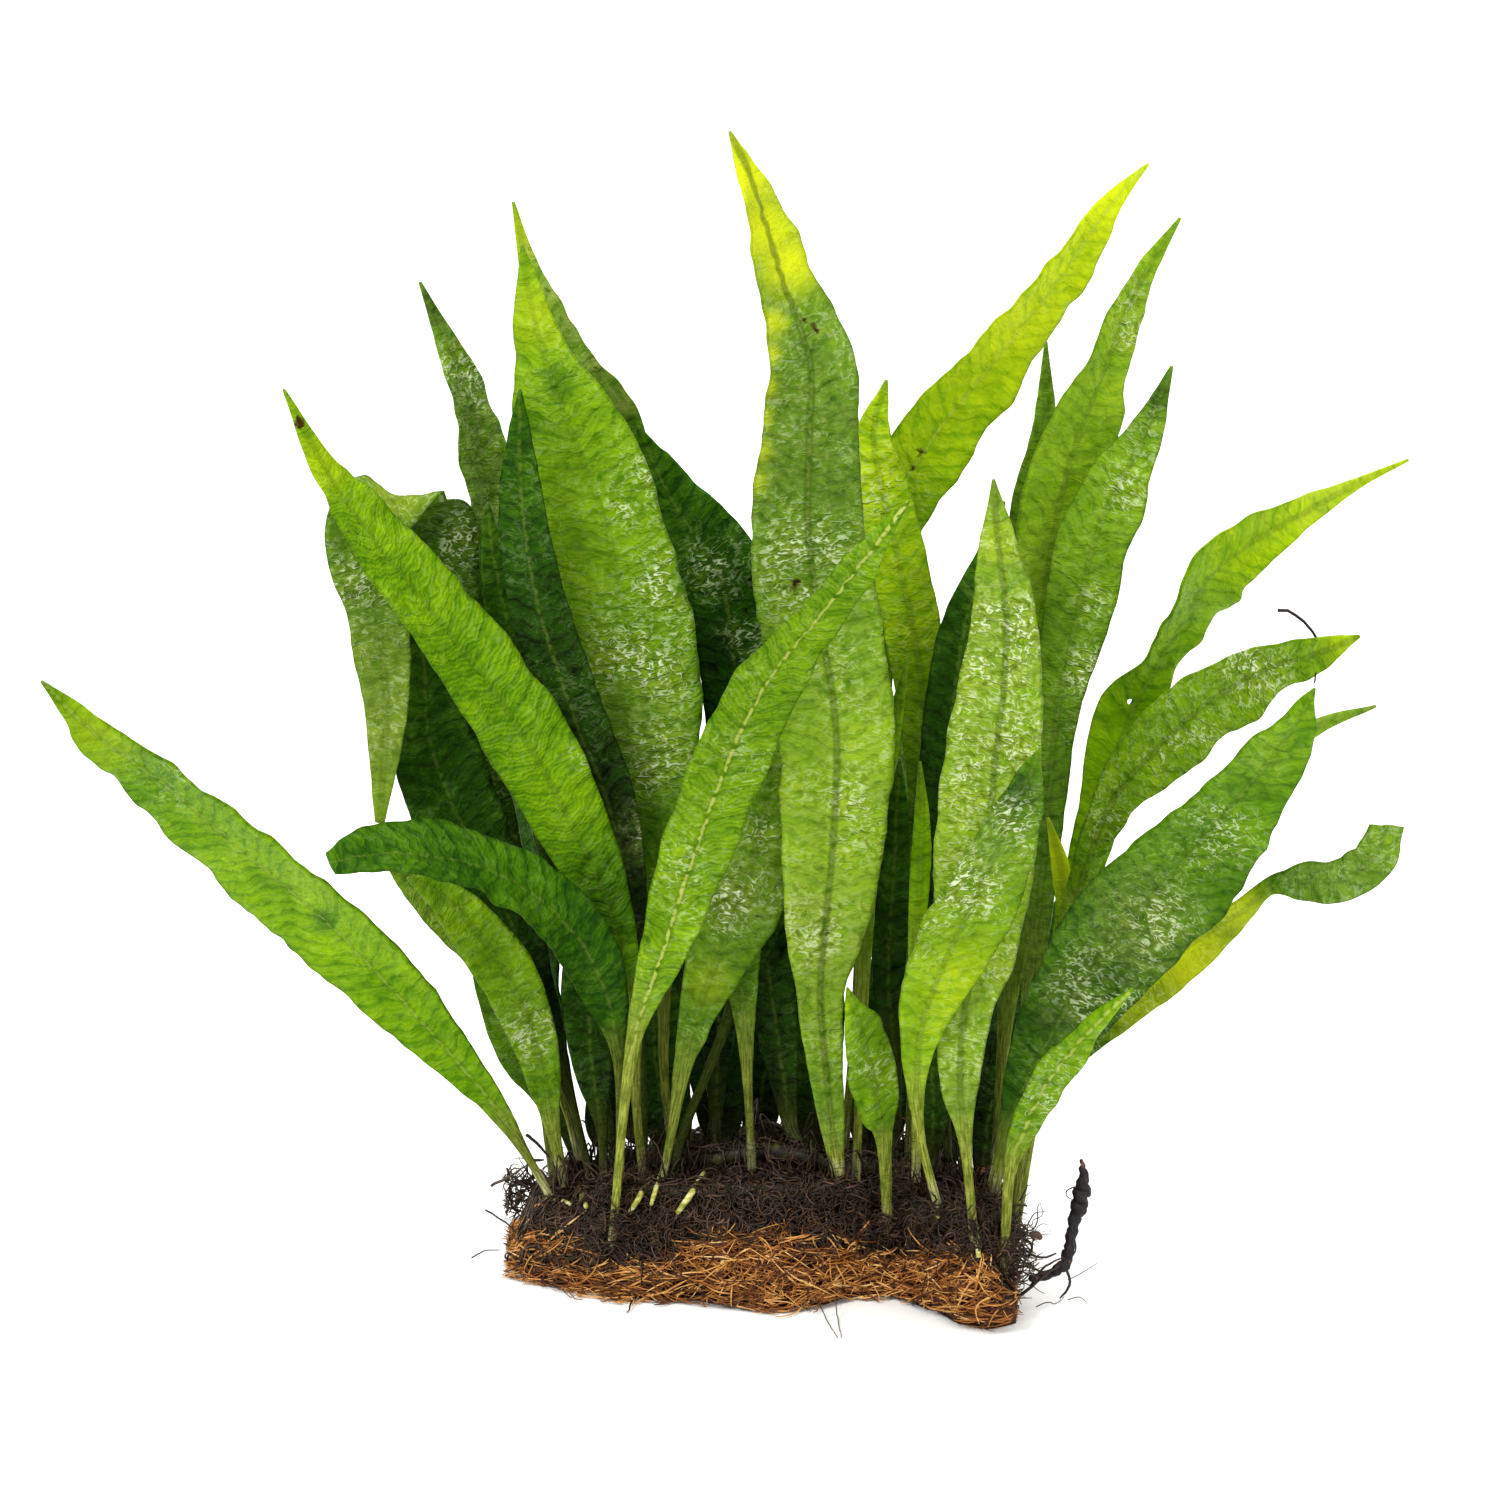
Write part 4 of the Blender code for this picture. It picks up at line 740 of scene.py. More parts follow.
def frond(number, name, colour, foot, rear, fold, turns, points):
    """One frond, as a strip along its midrib that is then made solid."""
    across, depth = foot
    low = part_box(name)[0].z / MM
    away = REACH + depth * math.cos(TILT) - (low - AIM.z) * math.sin(TILT)
    base = Vector((AIM.x + (across - AIM.x) * away / REACH, depth, low))
    seen = [(across, low)] + [(point[0], point[1]) for point in points]
    steps = [0.0]
    for (u0, v0), (u1, v1) in zip(seen, seen[1:]):
        steps.append(steps[-1] + math.hypot(u1 - u0, v1 - v0))
    midrib = [base]
    for point, step in zip(points, steps[1:]):
        back = point[3] if len(point) > 3 else 0
        y = depth + (rear - depth) * (step / steps[-1]) ** 1.5 + back
        midrib.append(seen_at(point[0], point[1], y))
    widths = [STALK] + [point[2] for point in points]
    shades, haze, wet = OWN_SHADES.get(name, SHADES[colour])
    rib_look = RIBS.get(name, PLAIN_RIB)
    cells = round(steps[-1] / ROW)
    seed = number * SEED_STEP

    bm = bmesh.new()
    bmesh.ops.create_grid(bm, x_segments=COLUMNS, y_segments=cells, size=0.5)
    thick = bm.verts.layers.deform.verify()
    leaf = bm.verts.layers.float_vector.new("leaf")
    tint = bm.verts.layers.float_vector.new("tint")
    mark = bm.verts.layers.float_vector.new("mark")
    line = bm.verts.layers.float_vector.new("line")
    rows = {}
    for vert in bm.verts:
        rows.setdefault(round((vert.co.y + 0.5) * cells), []).append(vert)
    side = Vector((1, 0, 0))
    along = 0.0
    before = base
    for row in range(cells + 1):
        t = row / cells
        middle = spline(midrib, t)
        along += (middle - before).length
        before = middle
        ahead = (spline(midrib, min(t + 0.01, 1)) - spline(midrib, max(t - 0.01, 0))).normalized()
        across_view = ahead.cross(VIEW)
        if len(points[0]) > 3:
            across_view = Vector((1, 0, 0)) - ahead * ahead.x
        if across_view.dot(side) < 0:
            across_view.negate()
        side = across_view.normalized()
        width = max(spline(widths, t), 0.6)
        is_blade = min(max((width - 2.6) / 5, 0), 1)
        turn = math.radians(spline(turns, t)) * is_blade
        lift = math.radians(fold) * is_blade
        out = Matrix.Rotation(turn, 3, ahead) @ side
        up = ahead.cross(out)
        if up.dot(VIEW) > 0:
            up.negate()
        half = width / 2 / max(math.cos(turn), 0.45) / math.cos(lift)
        shade = spline(shades, t)
        for vert in rows[row]:
            hand = vert.co.x * 2
            hand = math.copysign(abs(hand) ** 1.2, hand)
            sign = math.copysign(1.0, hand)
            edge = abs(hand)
            wander = (0.07 * noise.noise(Vector((along / 12, 5 * sign, seed)))
                      + 0.03 * noise.noise(Vector((along / 4, 5 * sign, seed)))) * is_blade
            reach = half * (1 + wander)
            x = hand * reach
            ripple = (noise.noise(Vector((along / 12, 3 * sign, seed))) * 2.4
                      + noise.noise(Vector((along / 5, 3 * sign, seed))) * 0.8) * RIPPLE
            quilt = QUILT * noise.noise(Vector((x / 6, along / 2.2, seed)))
            dimple = noise.noise(Vector((x / 3.5, along / 3.5, seed))) * 0.6
            height = (edge ** 1.15 * reach * math.sin(lift)
                      + is_blade * (ripple * edge ** 2.2 + (quilt + dimple) * (1 - edge ** 4)))
            vert.co = middle + out * x * math.cos(lift) + up * height
            rib = 0.42 * math.exp(-(x / 0.8) ** 2) * (1 - 0.7 * t) * is_blade
            round_stalk = (1 - is_blade) * math.sqrt(max(1 - hand * hand, 0.03))
            vert[thick][0] = min(rib + round_stalk, 1)
            golden, browned, shade_painted, paled, wetted, lit = marks_at(name, vert.co)
            vert[leaf] = (x, along + seed, edge * is_blade)
            # The marks' painted shade and painted light lower and raise the frond's shade
            vert[tint] = (shade - shade_painted + lit, haze + paled, min(wet + wetted, 1) * is_blade)
            foot_part = smooth(1.4 - along / 9)
            stalk_part = (1 - is_blade) * smooth(2.2 - 4 * t)
            vert[mark] = (golden, browned, stalk_part + foot_part)
            vert[line] = rib_look
    middle_face = max(bm.faces, key=lambda face: face.calc_area())
    middle_face.normal_update()
    if middle_face.normal.dot(VIEW) > 0:
        bmesh.ops.reverse_faces(bm, faces=bm.faces)

    for u, v, radius in HOLES.get(name, ()):
        gone = min(bm.verts, key=lambda vert: math.dist(shown_at(vert.co), (u, v)))
        centre = gone.co.copy()
        ring = {vert for face in gone.link_faces for vert in face.verts} - {gone}
        bmesh.ops.delete(bm, geom=[gone], context="VERTS")
        for vert in ring:
            vert.co = centre + (vert.co - centre).normalized() * radius

    piece = settle(name + "_leaf", bm, (leaf_top, leaf_under), name)
    piece.vertex_groups.new(name="thick")
    solid = piece.modifiers.new("thickness", "SOLIDIFY")
    solid.thickness = STALK * MM
    solid.offset = 0
    solid.vertex_group = "thick"
    solid.thickness_vertex_group = BLADE / STALK
    solid.material_offset = 1
    return piece


# %% All the fronds
faces = 0
for number, row in enumerate(FRONDS):
    faces += len(frond(number, *row).data.polygons)
print("blade faces", faces)

# %% [markdown]
# ## The coir mat and the root cushion
# The plant sits on a thin pad of coconut fibre, needled into a felt, and its own roots have
# grown into a dark cushion on top. A bare block would never pass for either, so each is built
# in two: a lumpy core that fills the solid, and many hundreds of strands laid on it.

# %% The mat's outline
MAT_LEFT = -66.0
MAT_RIGHT = 64.0
MAT_FRONT = ((-66, 5), (-58, -3), (-50, -8), (-40, -13), (-30, -15.5), (-20, -16.5), (-10, -20.5),
             (2, -23), (12, -21.5), (25, -13.5), (34, -14), (42, -24), (50, -35), (57, -39),
             (64, -39))
MAT_BACK = ((-66, 26), (-56, 36), (-40, 43), (-20, 45), (0, 42), (18, 45), (34, 42),
            (48, 36), (58, 26), (64, 8))
MAT_HEIGHT = ((-66, 9), (-45, 10), (-25, 13), (0, 15), (25, 14), (45, 14), (64, 12))
ROOT_HEIGHT = ((-66, 6), (-50, 8), (-35, 11), (-15, 14), (5, 13), (25, 12), (45, 10), (64, 6))
RIM = 0.62


def mat_height(x, y):
    """Height of the mat's top away from its edges."""
    return between(MAT_HEIGHT, x) + 0.7 * math.sin(x / 9 + y / 14)


def root_height(x, y):
    """Height of the root cushion's top away from its edges."""
    front, back = between(MAT_FRONT, x), between(MAT_BACK, x)
    middle = (front + back) / 2 - 4
    dome = 1 - 0.55 * ((y - middle) / ((back - front) / 2)) ** 2
    lumps = 0.9 * math.sin(x / 5.5 + 1) * math.cos(y / 6) + 0.6 * math.sin(y / 4 - x / 8)
    return mat_height(x, y) + between(ROOT_HEIGHT, x) * max(dome, 0.4) + lumps


def pad_point(s, q):
    """A point of the mat's outline grid: s runs left to right, q front to back, both 0..1."""
    reach = 1 - (2 * s - 1) ** 16 * 0.3
    x = MAT_LEFT + (MAT_RIGHT - MAT_LEFT) * s
    front, back = between(MAT_FRONT, x), between(MAT_BACK, x)
    middle = (front + back) / 2
    return x, middle + (back - front) / 2 * reach * (2 * q - 1)


def rim_distance(x, y):
    """How far a point lies inside the mat's outline."""
    return min(x - MAT_LEFT, MAT_RIGHT - x, y - between(MAT_FRONT, x), between(MAT_BACK, x) - y)


def bed(x, y):
    """Height of what the roots lie on: the floor, the mat's shoulder, then the cushion."""
    inside = rim_distance(x, y)
    if inside < 0:
        return RIM * mat_height(x, y) * (1 - smooth(-inside / 2))
    shoulder = mat_height(x, y) * (RIM + (1 - RIM) * smooth(inside / 6))
    return shoulder + (root_height(x, y) - mat_height(x, y)) * smooth((inside - 3) / 5)


print("height at the middle", round(bed(0, 5), 1), "mm")


# %% A pad on the outline
def pad(name, trim, bottom, top, bumps, finish, node):
    """A closed pad on the mat's outline, let in by this share all round, with bumps in mm."""
    wide, long = 88, 44
    bm = bmesh.new()
    bmesh.ops.create_grid(bm, x_segments=wide, y_segments=long, size=0.5)
    raised = bmesh.ops.extrude_face_region(bm, geom=bm.faces[:], use_keep_orig=True)
    upper = {item for item in raised["geom"] if isinstance(item, bmesh.types.BMVert)}
    for vert in bm.verts:
        s, q = vert.co.x + 0.5, vert.co.y + 0.5
        x, y = pad_point(trim + s * (1 - 2 * trim), trim * 2 + q * (1 - 4 * trim))
        vert.co = (x, y, top(x, y) if vert in upper else bottom(x, y))
    bmesh.ops.recalc_face_normals(bm, faces=bm.faces)
    for vert in bm.verts:
        if vert in upper:
            rough = noise.noise(vert.co / 3.1) + 0.6 * noise.noise(vert.co / 1.4)
            vert.co += vert.normal * rough * bumps
    return settle(name, bm, (finish,), node)


# %% [markdown]
# ### Coir and root finishes
# Coir is stiff, matt, orange-brown fibre. Java fern roots are wiry and almost black, with a
# purplish cast, and hold silt that dulls them. Both finishes are streaks of noise on the
# object's own coordinates. Every strand is an island of its own mesh, and a chance number for
# each island makes one strand straw-pale and the next one dark.

# %% Fibre finishes
def fibre_finish(name, stops, streak, grain_size, roughness, depth, lot=0.0):
    """Matt fibre in streaks. The streak is a patch's stretch along X, Y and Z, and the lot is
    how much one strand differs from the next."""
    made, tree, shader = new_finish(name)
    place = add(tree, "TexCoord").outputs["Object"]
    stretched = add(tree, "Mapping", {"Vector": place, "Scale": streak}).outputs[0]
    fine = add(tree, "TexNoise", {"Vector": stretched, "Scale": 1 / (grain_size * MM),
                                  "Detail": 4.0, "Roughness": 0.65}).outputs[0]
    clump = add(tree, "TexNoise", {"Vector": place, "Scale": 110.0, "Detail": 2.0}).outputs[0]
    both = add(tree, "Math", {0: clump, 1: 0.7, 2: fine}, operation="MULTIPLY_ADD").outputs[0]
    level = add(tree, "MapRange", {"Value": both, "From Min": 0.55, "From Max": 1.15}).outputs[0]
    if lot:
        each = add(tree, "NewGeometry").outputs["Random Per Island"]
        level = add(tree, "Math", {0: level, 1: 1 - lot}, operation="MULTIPLY").outputs[0]
        level = add(tree, "Math", {0: each, 1: lot, 2: level},
                    operation="MULTIPLY_ADD").outputs[0]
    colour = add(tree, "ValToRGB", {"Fac": level}, stops).outputs["Color"]
    tree.links.new(colour, shader.inputs["Base Color"])
    bump = add(tree, "Bump", {"Height": fine, "Distance": depth * MM}).outputs[0]
    tree.links.new(bump, shader.inputs["Normal"])
    shader.inputs["Roughness"].default_value = roughness
    return made


# Needled coconut fibre: straw-like lights over deep red-brown shadow
COIR_STOPS = ((0.0, "#1e0f04"), (0.3, "#5c320b"), (0.6, "#a56a26"), (0.85, "#d8a560"),
              (1.0, "#f2dcab"))
FELT_STOPS = ((0.0, "#140a04"), (0.5, "#3c210c"), (1.0, "#7a4a1c"))
coir_felt = fibre_finish("needled_coir_felt", FELT_STOPS, (0.35, 0.35, 1.0), 0.9, 0.9, 1.2)
coir_fibre = fibre_finish("coconut_fibre", COIR_STOPS, (1, 1, 1), 2.2, 0.6, 0.1, 0.8)
# Wiry fern roots: brown black, with here and there a purplish or a rusty one
ROOT_STOPS = ((0.0, "#0b0703"), (0.42, "#2a1d0f"), (0.74, "#4c371f"), (0.92, "#6b5047"),
              (1.0, "#9a7640"))
root_felt = fibre_finish("root_felt", ROOT_STOPS, (1, 1, 1), 1.1, 0.85, 1.2)
root_wire = fibre_finish("wiry_root", ROOT_STOPS, (1, 1, 1), 2.5, 0.4, 0.1, 0.7)

# %% The two cores
CORE_INSET = 0.9
pad("coir_core", 0.006, lambda x, y: 0.0,
    lambda x, y: mat_height(x, y) * (RIM + (1 - RIM) * smooth(rim_distance(x, y) / 6)) - CORE_INSET,
    0.5, coir_felt, "coir_mat")
pad("root_core", 0.035, lambda x, y: mat_height(x, y) * 0.8,
    lambda x, y: bed(x, y) - CORE_INSET, 0.9, root_felt, "root_cushion")
print("cores in place")

# %% [markdown]
# ### Creeping stems
# The fronds stand on creeping stems, thick as a pencil lead, brown-green and knobbly with old
# leaf scars. They are tubes on the same routes as their solids, with a radius that swells and
# shrinks, so that they look grown and not drawn.

# %% Stem routes
STEMS = (
    ("rhizome_front", ((-46, 3), (-34, -5), (-20, -9), (-4, -12), (11, -13), (25, -9))),
    ("rhizome_right", ((38, -14), (45, -22), (54, -22), (58, -10), (60, 6), (57, 17))),
    ("rhizome_middle", ((-28, 12), (-14, 8), (4, 6), (20, 5), (34, 8), (46, 10))),
    ("rhizome_back", ((-50, 24), (-36, 30), (-16, 31), (6, 33), (26, 31), (44, 28))),
)
STEM_RADIUS = 2.4


def stem_route(places, count=56):
    """Points along a stem's middle line, just above the root cushion."""
    route = []
    for k in range(count + 1):
        at = spline([Vector((x, y, 0)) for x, y in places], k / count)
        route.append(Vector((at.x, at.y, root_height(at.x, at.y) + STEM_RADIUS)))
    return route


# %% Tubes from curves
def tubes(name, routes, radius, sides, finish, node=None):
    """One piece of closed tubes. A route is (points in mm, thickness at each point), and the
    sides say how round a tube is: 0 is square."""
    curve = bpy.data.curves.new(name, "CURVE")
    curve.dimensions = "3D"
    curve.bevel_depth = radius * MM
    curve.bevel_resolution = sides
    curve.use_fill_caps = True
    for places, thickness in routes:
        line = curve.splines.new("POLY")
        line.points.add(len(places) - 1)
        for point, place, thick in zip(line.points, places, thickness):
            point.co = (*(place * MM), 1)
            point.radius = thick
    wire = bpy.data.objects.new(name, curve)
    bpy.context.scene.collection.objects.link(wire)
    graph = bpy.context.evaluated_depsgraph_get()
    bm = bmesh.new()
    bm.from_mesh(bpy.data.meshes.new_from_object(wire.evaluated_get(graph)))
    bpy.data.objects.remove(wire)
    bpy.data.curves.remove(curve)
    bmesh.ops.remove_doubles(bm, verts=bm.verts, dist=1e-6)
    bmesh.ops.scale(bm, vec=(1 / MM, 1 / MM, 1 / MM), verts=bm.verts)
    print(name, len(routes), "tubes", len(bm.faces), "faces")
    return settle(name, bm, (finish,), node)


# Creeping stem: olive brown skin, dull, with paler scars
STEM_STOPS = ((0.0, "#0f0c06"), (0.5, "#2b2510"), (0.8, "#55541c"), (1.0, "#8a8f3c"))
stem_skin = fibre_finish("creeping_stem_skin", STEM_STOPS, (1, 1, 1), 3.0, 0.55, 0.5)
for name, places in STEMS:
    route = stem_route(places)
    swell = [1 + 0.16 * math.sin(k * 1.9) * math.sin(k * 0.7 + 1) for k in range(len(route))]
    tubes(name + "_skin", [(route, swell)], STEM_RADIUS, 3, stem_skin, name)

# %% [markdown]
# ### Where a strand lies
# A strand that starts anywhere on the cushion has to follow the cushion, and climb over any
# stem in its way. The bed's height, stems and all, is first read into a table with one entry
# for each square millimetre. A strand at the front is then set out in the front view, like the
# fronds, and each of its points is pushed back until it meets the bed.

# %% The bed in a table
BED_X = range(-72, 72)
BED_Y = range(-50, 52)
beds = {(x, y): bed(x, y) for x in BED_X for y in BED_Y}
for _, places in STEMS:
    for at in stem_route(places):
        for x in range(round(at.x) - 2, round(at.x) + 3):
            for y in range(round(at.y) - 2, round(at.y) + 3):
                gap = math.hypot(x - at.x, y - at.y)
                top = at.z + 0.3 + math.sqrt(max(STEM_RADIUS ** 2 - gap ** 2, 0))
                if gap < STEM_RADIUS:
                    beds[x, y] = max(beds[x, y], top)


def bed_at(x, y):
    """The bed's height from the table, between its entries too."""
    i, j = math.floor(x), math.floor(y)
    f, g = x - i, y - j
    low = beds.get((i, j), 0) * (1 - f) + beds.get((i + 1, j), 0) * f
    high = beds.get((i, j + 1), 0) * (1 - f) + beds.get((i + 1, j + 1), 0) * f
    return low * (1 - g) + high * g


def lay(across, up, lift):
    """The point of the bed or floor that the front view shows at (across, up), moved towards
    the viewer by the lift."""
    y, step = -48.0, 2.0
    while step > 0.2:
        point = seen_at(across, up, y + step)
        if point.z > max(bed_at(point.x, y + step), 0.3) and y < 46:
            y += step
        else:
            step /= 2
    return seen_at(across, up, y) - VIEW * lift


print("bed entries", len(beds), "front of the cushion at", [round(part, 1) for part in lay(0, 22, 0)])

# %% [markdown]
# ### Which strands show where
# Seen from the front, coir fills the lower part and the roots hang over it, low at the left
# end and high in the middle. Fibres run mostly level, because the felt is laid in sheets. Roots
# curl any way they like. The start, lean and length of each come from one seeded source of
# chance, so every run gives the same mat.

# %% Coir or roots
chance = random.Random(7)
MAT_EDGE = ((-66, 10), (-60, 8), (-54, 6.5), (-46, 4), (-32, 2.3), (-20, 2.6), (-8, 1.6),
            (3, -0.6), (12, 1), (18, 3.3), (36, 3.3), (43, 0.4), (49, -2), (55, -3.6), (60, -3.4),
            (64, 0))
ROOTS_END = ((-66, 13), (-45, 12), (-26, 11.5), (-21, 17), (-10, 18), (0, 20), (8, 21.5),
             (11.5, 16), (18.5, 16), (21, 19), (27, 15.5), (33, 14), (43, 15), (49, 15.6),
             (55, 12.5), (63, 8))


def coir_shows(across, up):
    """Whether the front view shows coir at (across, up), or else roots."""
    waver = 1.6 * noise.noise(Vector((across / 4, up / 4, 3)))
    strip = across < -49 and 14.5 < up + waver < 19.3
    return strip or up + waver < between(ROOTS_END, across)


def draped(across, up, heading, length, bend, lift, count=6, spill=0.0):
    """A strand laid on the bed along a bent line in the front view. It may spill over the
    mat's lower edge by so many mm."""
    places = []
    stride = length / (count - 1)
    for k in range(count):
        lowest = between(MAT_EDGE, across) - spill
        place = lay(across, max(up, lowest), 0.1 + lift * math.sin(2.8 * k / count))
        if places and (place - places[-1]).length > 2 * stride + 2:
            break
        places.append(place)
        heading += bend * chance.uniform(0, 2) / count
        across += math.cos(heading) * stride
        up += math.sin(heading) * stride
        if not MAT_LEFT + 0.5 < across < MAT_RIGHT - 0.5:
            break
    return places


def tapered(places, thickness):
    """The places with a thickness for each that thins towards the far end."""
    last = max(len(places) - 1, 1)
    return places, [thickness * (1 - 0.6 * (k / last) ** 2) for k in range(len(places))]


# %% Strands at the front
coir, tangle = [], []
for _ in range(4600):
    across = chance.uniform(-65, 63)
    up = chance.uniform(between(MAT_EDGE, across) + 0.2, 34)
    if coir_shows(across, up):
        heading = chance.gauss(0, 0.3) if chance.random() < 0.8 else chance.gauss(0, 1.0)
        heading += math.pi * chance.randrange(2)
        strand = draped(across, up, heading, chance.uniform(3, 11), chance.gauss(0, 0.9),
                        chance.uniform(0, 1.3), 7, 1.6 * chance.random() ** 2)
        coir.append(tapered(strand, chance.uniform(0.45, 1.3)))
    else:
        strand = draped(across, up, chance.gauss(0, 0.9) + math.pi * chance.randrange(2),
                        chance.uniform(3, 9), chance.gauss(0, 3.4), chance.uniform(0, 1.6), 8)
        tangle.append(tapered(strand, chance.uniform(0.5, 1.5)))
coir = [strand for strand in coir if len(strand[0]) > 2]
tangle = [strand for strand in tangle if len(strand[0]) > 2]
print("front strands", len(coir), "coir", len(tangle), "root")


# %% Fibres on the mat's other sides
def rim_point(turn):
    """A point of the mat's outline, for a turn of 0..1 that starts at the front left."""
    turn = turn % 1
    if turn < 0.36:
        return Vector((*pad_point(turn / 0.36, 0), 0))
    if turn < 0.5:
        return Vector((*pad_point(1, (turn - 0.36) / 0.14), 0))
    if turn < 0.86:
        return Vector((*pad_point(1 - (turn - 0.5) / 0.36, 1), 0))
    return Vector((*pad_point(0, 1 - (turn - 0.86) / 0.14), 0))


def side_strand(start, height, reach, lean, stand, count=5):
    """A strand that lies on the mat's side, from a turn of the outline and a share of its
    height. The stand is how far its end comes off the side, in mm."""
    places = []
    for k in range(count):
        part = k / (count - 1)
        here = rim_point(start + reach * part)
        tangent = rim_point(start + reach * part + 0.004) - rim_point(start + reach * part - 0.004)
        outward = Vector((tangent.y, -tangent.x, 0)).normalized()
        wall = RIM * mat_height(here.x, here.y)
        z = min(max(height * wall + lean * part, 0.25), wall + 2)
        off = -0.9 + stand * part * part + 0.4 * math.sin(3 * part + start * 90)
        places.append(here + outward * off + Vector((0, 0, z)))
    return places


for _ in range(900):
    start = chance.uniform(0.36, 1)
    way = chance.choice((-1, 1))
    coir.append(tapered(side_strand(start, chance.uniform(0.0, 1.1),
                                    way * chance.uniform(0.012, 0.045), chance.gauss(0, 1.5),
                                    abs(chance.gauss(0, 0.8))), chance.uniform(0.6, 1.5)))
for _ in range(70):
    # A few stray ends that come off the mat's foot
    start = chance.uniform(0, 1)
    coir.append(tapered(side_strand(start, chance.uniform(0.0, 0.4),
                                    chance.choice((-1, 1)) * chance.uniform(0.01, 0.02),
                                    chance.gauss(0, 0.6), chance.uniform(0.8, 2.6)),
                        chance.uniform(0.4, 0.8)))


# %% Strands on the shoulder and the cushion's top
def walk(x, y, heading, count, stride, lift, curl, limit):
    """A wandering strand that follows the bed and turns back at the limit from the rim."""
    places = []
    for k in range(count):
        hump = lift * math.sin(math.pi * k / (count - 1))
        places.append(Vector((x, y, bed_at(x, y) + 0.1 + hump)))
        heading += chance.gauss(0, curl)
        step = Vector((math.cos(heading), math.sin(heading))) * stride
        if rim_distance(x + step.x, y + step.y) < limit:
            heading += math.pi / 2
            step = Vector((math.cos(heading), math.sin(heading))) * stride
        if rim_distance(x + step.x, y + step.y) < limit:
            break
        x += step.x
        y += step.y
    return places


for _ in range(420):
    turn = chance.uniform(0.36, 1)
    here = rim_point(turn)
    spot = here + (Vector((-1, 4, 0)) - here).normalized() * chance.uniform(0.5, 6)
    tangent = rim_point(turn + 0.004) - rim_point(turn - 0.004)
    strand = walk(spot.x, spot.y, math.atan2(tangent.y, tangent.x) + chance.gauss(0, 0.4), 6,
                  chance.uniform(1, 2.6), chance.uniform(0, 0.8), 0.12, 0.3)
    if len(strand) > 2:
        coir.append(tapered(strand, chance.uniform(0.6, 1.4)))
for _ in range(1500):
    x = chance.uniform(MAT_LEFT + 3, MAT_RIGHT - 3)
    front, back = between(MAT_FRONT, x), between(MAT_BACK, x)
    y = front + 6 + (back - front - 10) * chance.uniform(0, 1)
    strand = walk(x, y, chance.uniform(0, 2 * math.pi), 7, chance.uniform(1.0, 2.4),
                  chance.uniform(0, 2.2), 0.6, 2.5)
    if len(strand) > 2:
        tangle.append(tapered(strand, chance.uniform(0.5, 1.5)))

# %% Wiry roots that rise among the stalks
for _ in range(420):
    foot = chance.choice(FRONDS)[2]
    x, y = foot[0] + chance.gauss(0, 4), foot[1] + chance.gauss(0, 3) - 1
    if rim_distance(x, y) < 8:
        continue
    height = 2 + 11 * chance.random() ** 2
    heading = chance.uniform(0, 2 * math.pi)
    places = []
    for k in range(9):
        rise = height * math.sin(math.pi * (k / 8) ** 0.8)
        places.append(Vector((x, y, bed_at(x, y) + rise)))
        heading += chance.gauss(0, 0.8)
        x += math.cos(heading) * 1.1
        y += math.sin(heading) * 0.8
    tangle.append(tapered(places, chance.uniform(0.5, 1.4)))

# %% Roots heaped on the feet at the front
for name, _, foot, *_ in FRONDS:
    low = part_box(name)[0].z / MM
    cover = min(max(27 - shown_at(Vector((*foot, low)))[1], 3), 11)
    if foot[1] > -2:
        continue
    for _ in range(60):
        rise = cover * chance.random()
        x = foot[0] + chance.gauss(0, 3.4 - 0.16 * rise)
        y = foot[1] - chance.uniform(1.9, 3.4)
        z = low + rise
        heading = math.pi * chance.randrange(2) + chance.gauss(0, 0.6)
        places = []
        for k in range(7):
            places.append(Vector((x, y, max(z, bed_at(x, y) + 0.1))))
            heading += chance.gauss(0, 0.7)
            x += math.cos(heading) * 0.9
            z += math.sin(heading) * 0.9
        tangle.append(tapered(places, chance.uniform(0.5, 1.4)))

# %% The net of fine roots at the right end
for _ in range(70):
    across, up, depth = 61.5, chance.uniform(5, 22), chance.uniform(-30, -18)
    heading = chance.gauss(-0.2, 0.7)
    places = []
    for k in range(chance.randrange(6, 13)):
        point = seen_at(across, up, depth)
        places.append(Vector((point.x, point.y, max(point.z, 0.3))))
        heading += chance.gauss(0, 0.75)
        across += math.cos(heading) * 1.2
        up = max(up + math.sin(heading) * 1.2, 3)
        depth += chance.gauss(0, 0.5)
    tangle.append(tapered(places, chance.uniform(0.35, 1.1)))

# %% The strands become two pieces
tubes("coir_fibres", coir, 0.25, 0, coir_fibre)
tubes("root_tangle", tangle, 0.22, 0, root_wire)

# %% [markdown]
# ### Sprigs and stubs
# A few single things catch the eye: a shrivelled root that stands up at the right end with its
# side roots, a forked one at the left end, hairs that run out on the floor, and the pale stubs
# of stalks whose blades have gone. Each is a short list of places in the front view.

# %% The stray root
STRAY_ROOT = ((66.5, 8, -26), (71, 8.5, -25), (75.3, 12, -24), (77, 20, -23), (78.8, 27, -22),
              (79.9, 33, -22), (79.1, 37.5, -22))
STRAY_THICKNESS = (0.9, 1.0, 1.5, 1.5, 2.0, 1.3, 0.4)
stray = [seen_at(*place) for place in STRAY_ROOT]
route, thickness = [], []
for k in range(61):
    at = spline(stray, k / 60)
    shrivel = Vector((noise.noise(at / 1.7), noise.noise(at / 1.7 + Vector((9, 0, 0))), 0))
    route.append(at + shrivel * 0.9)
    swell = 1 + 0.45 * noise.noise(at / 1.3)
    thickness.append(max(spline(STRAY_THICKNESS, k / 60) * swell, 0.3))
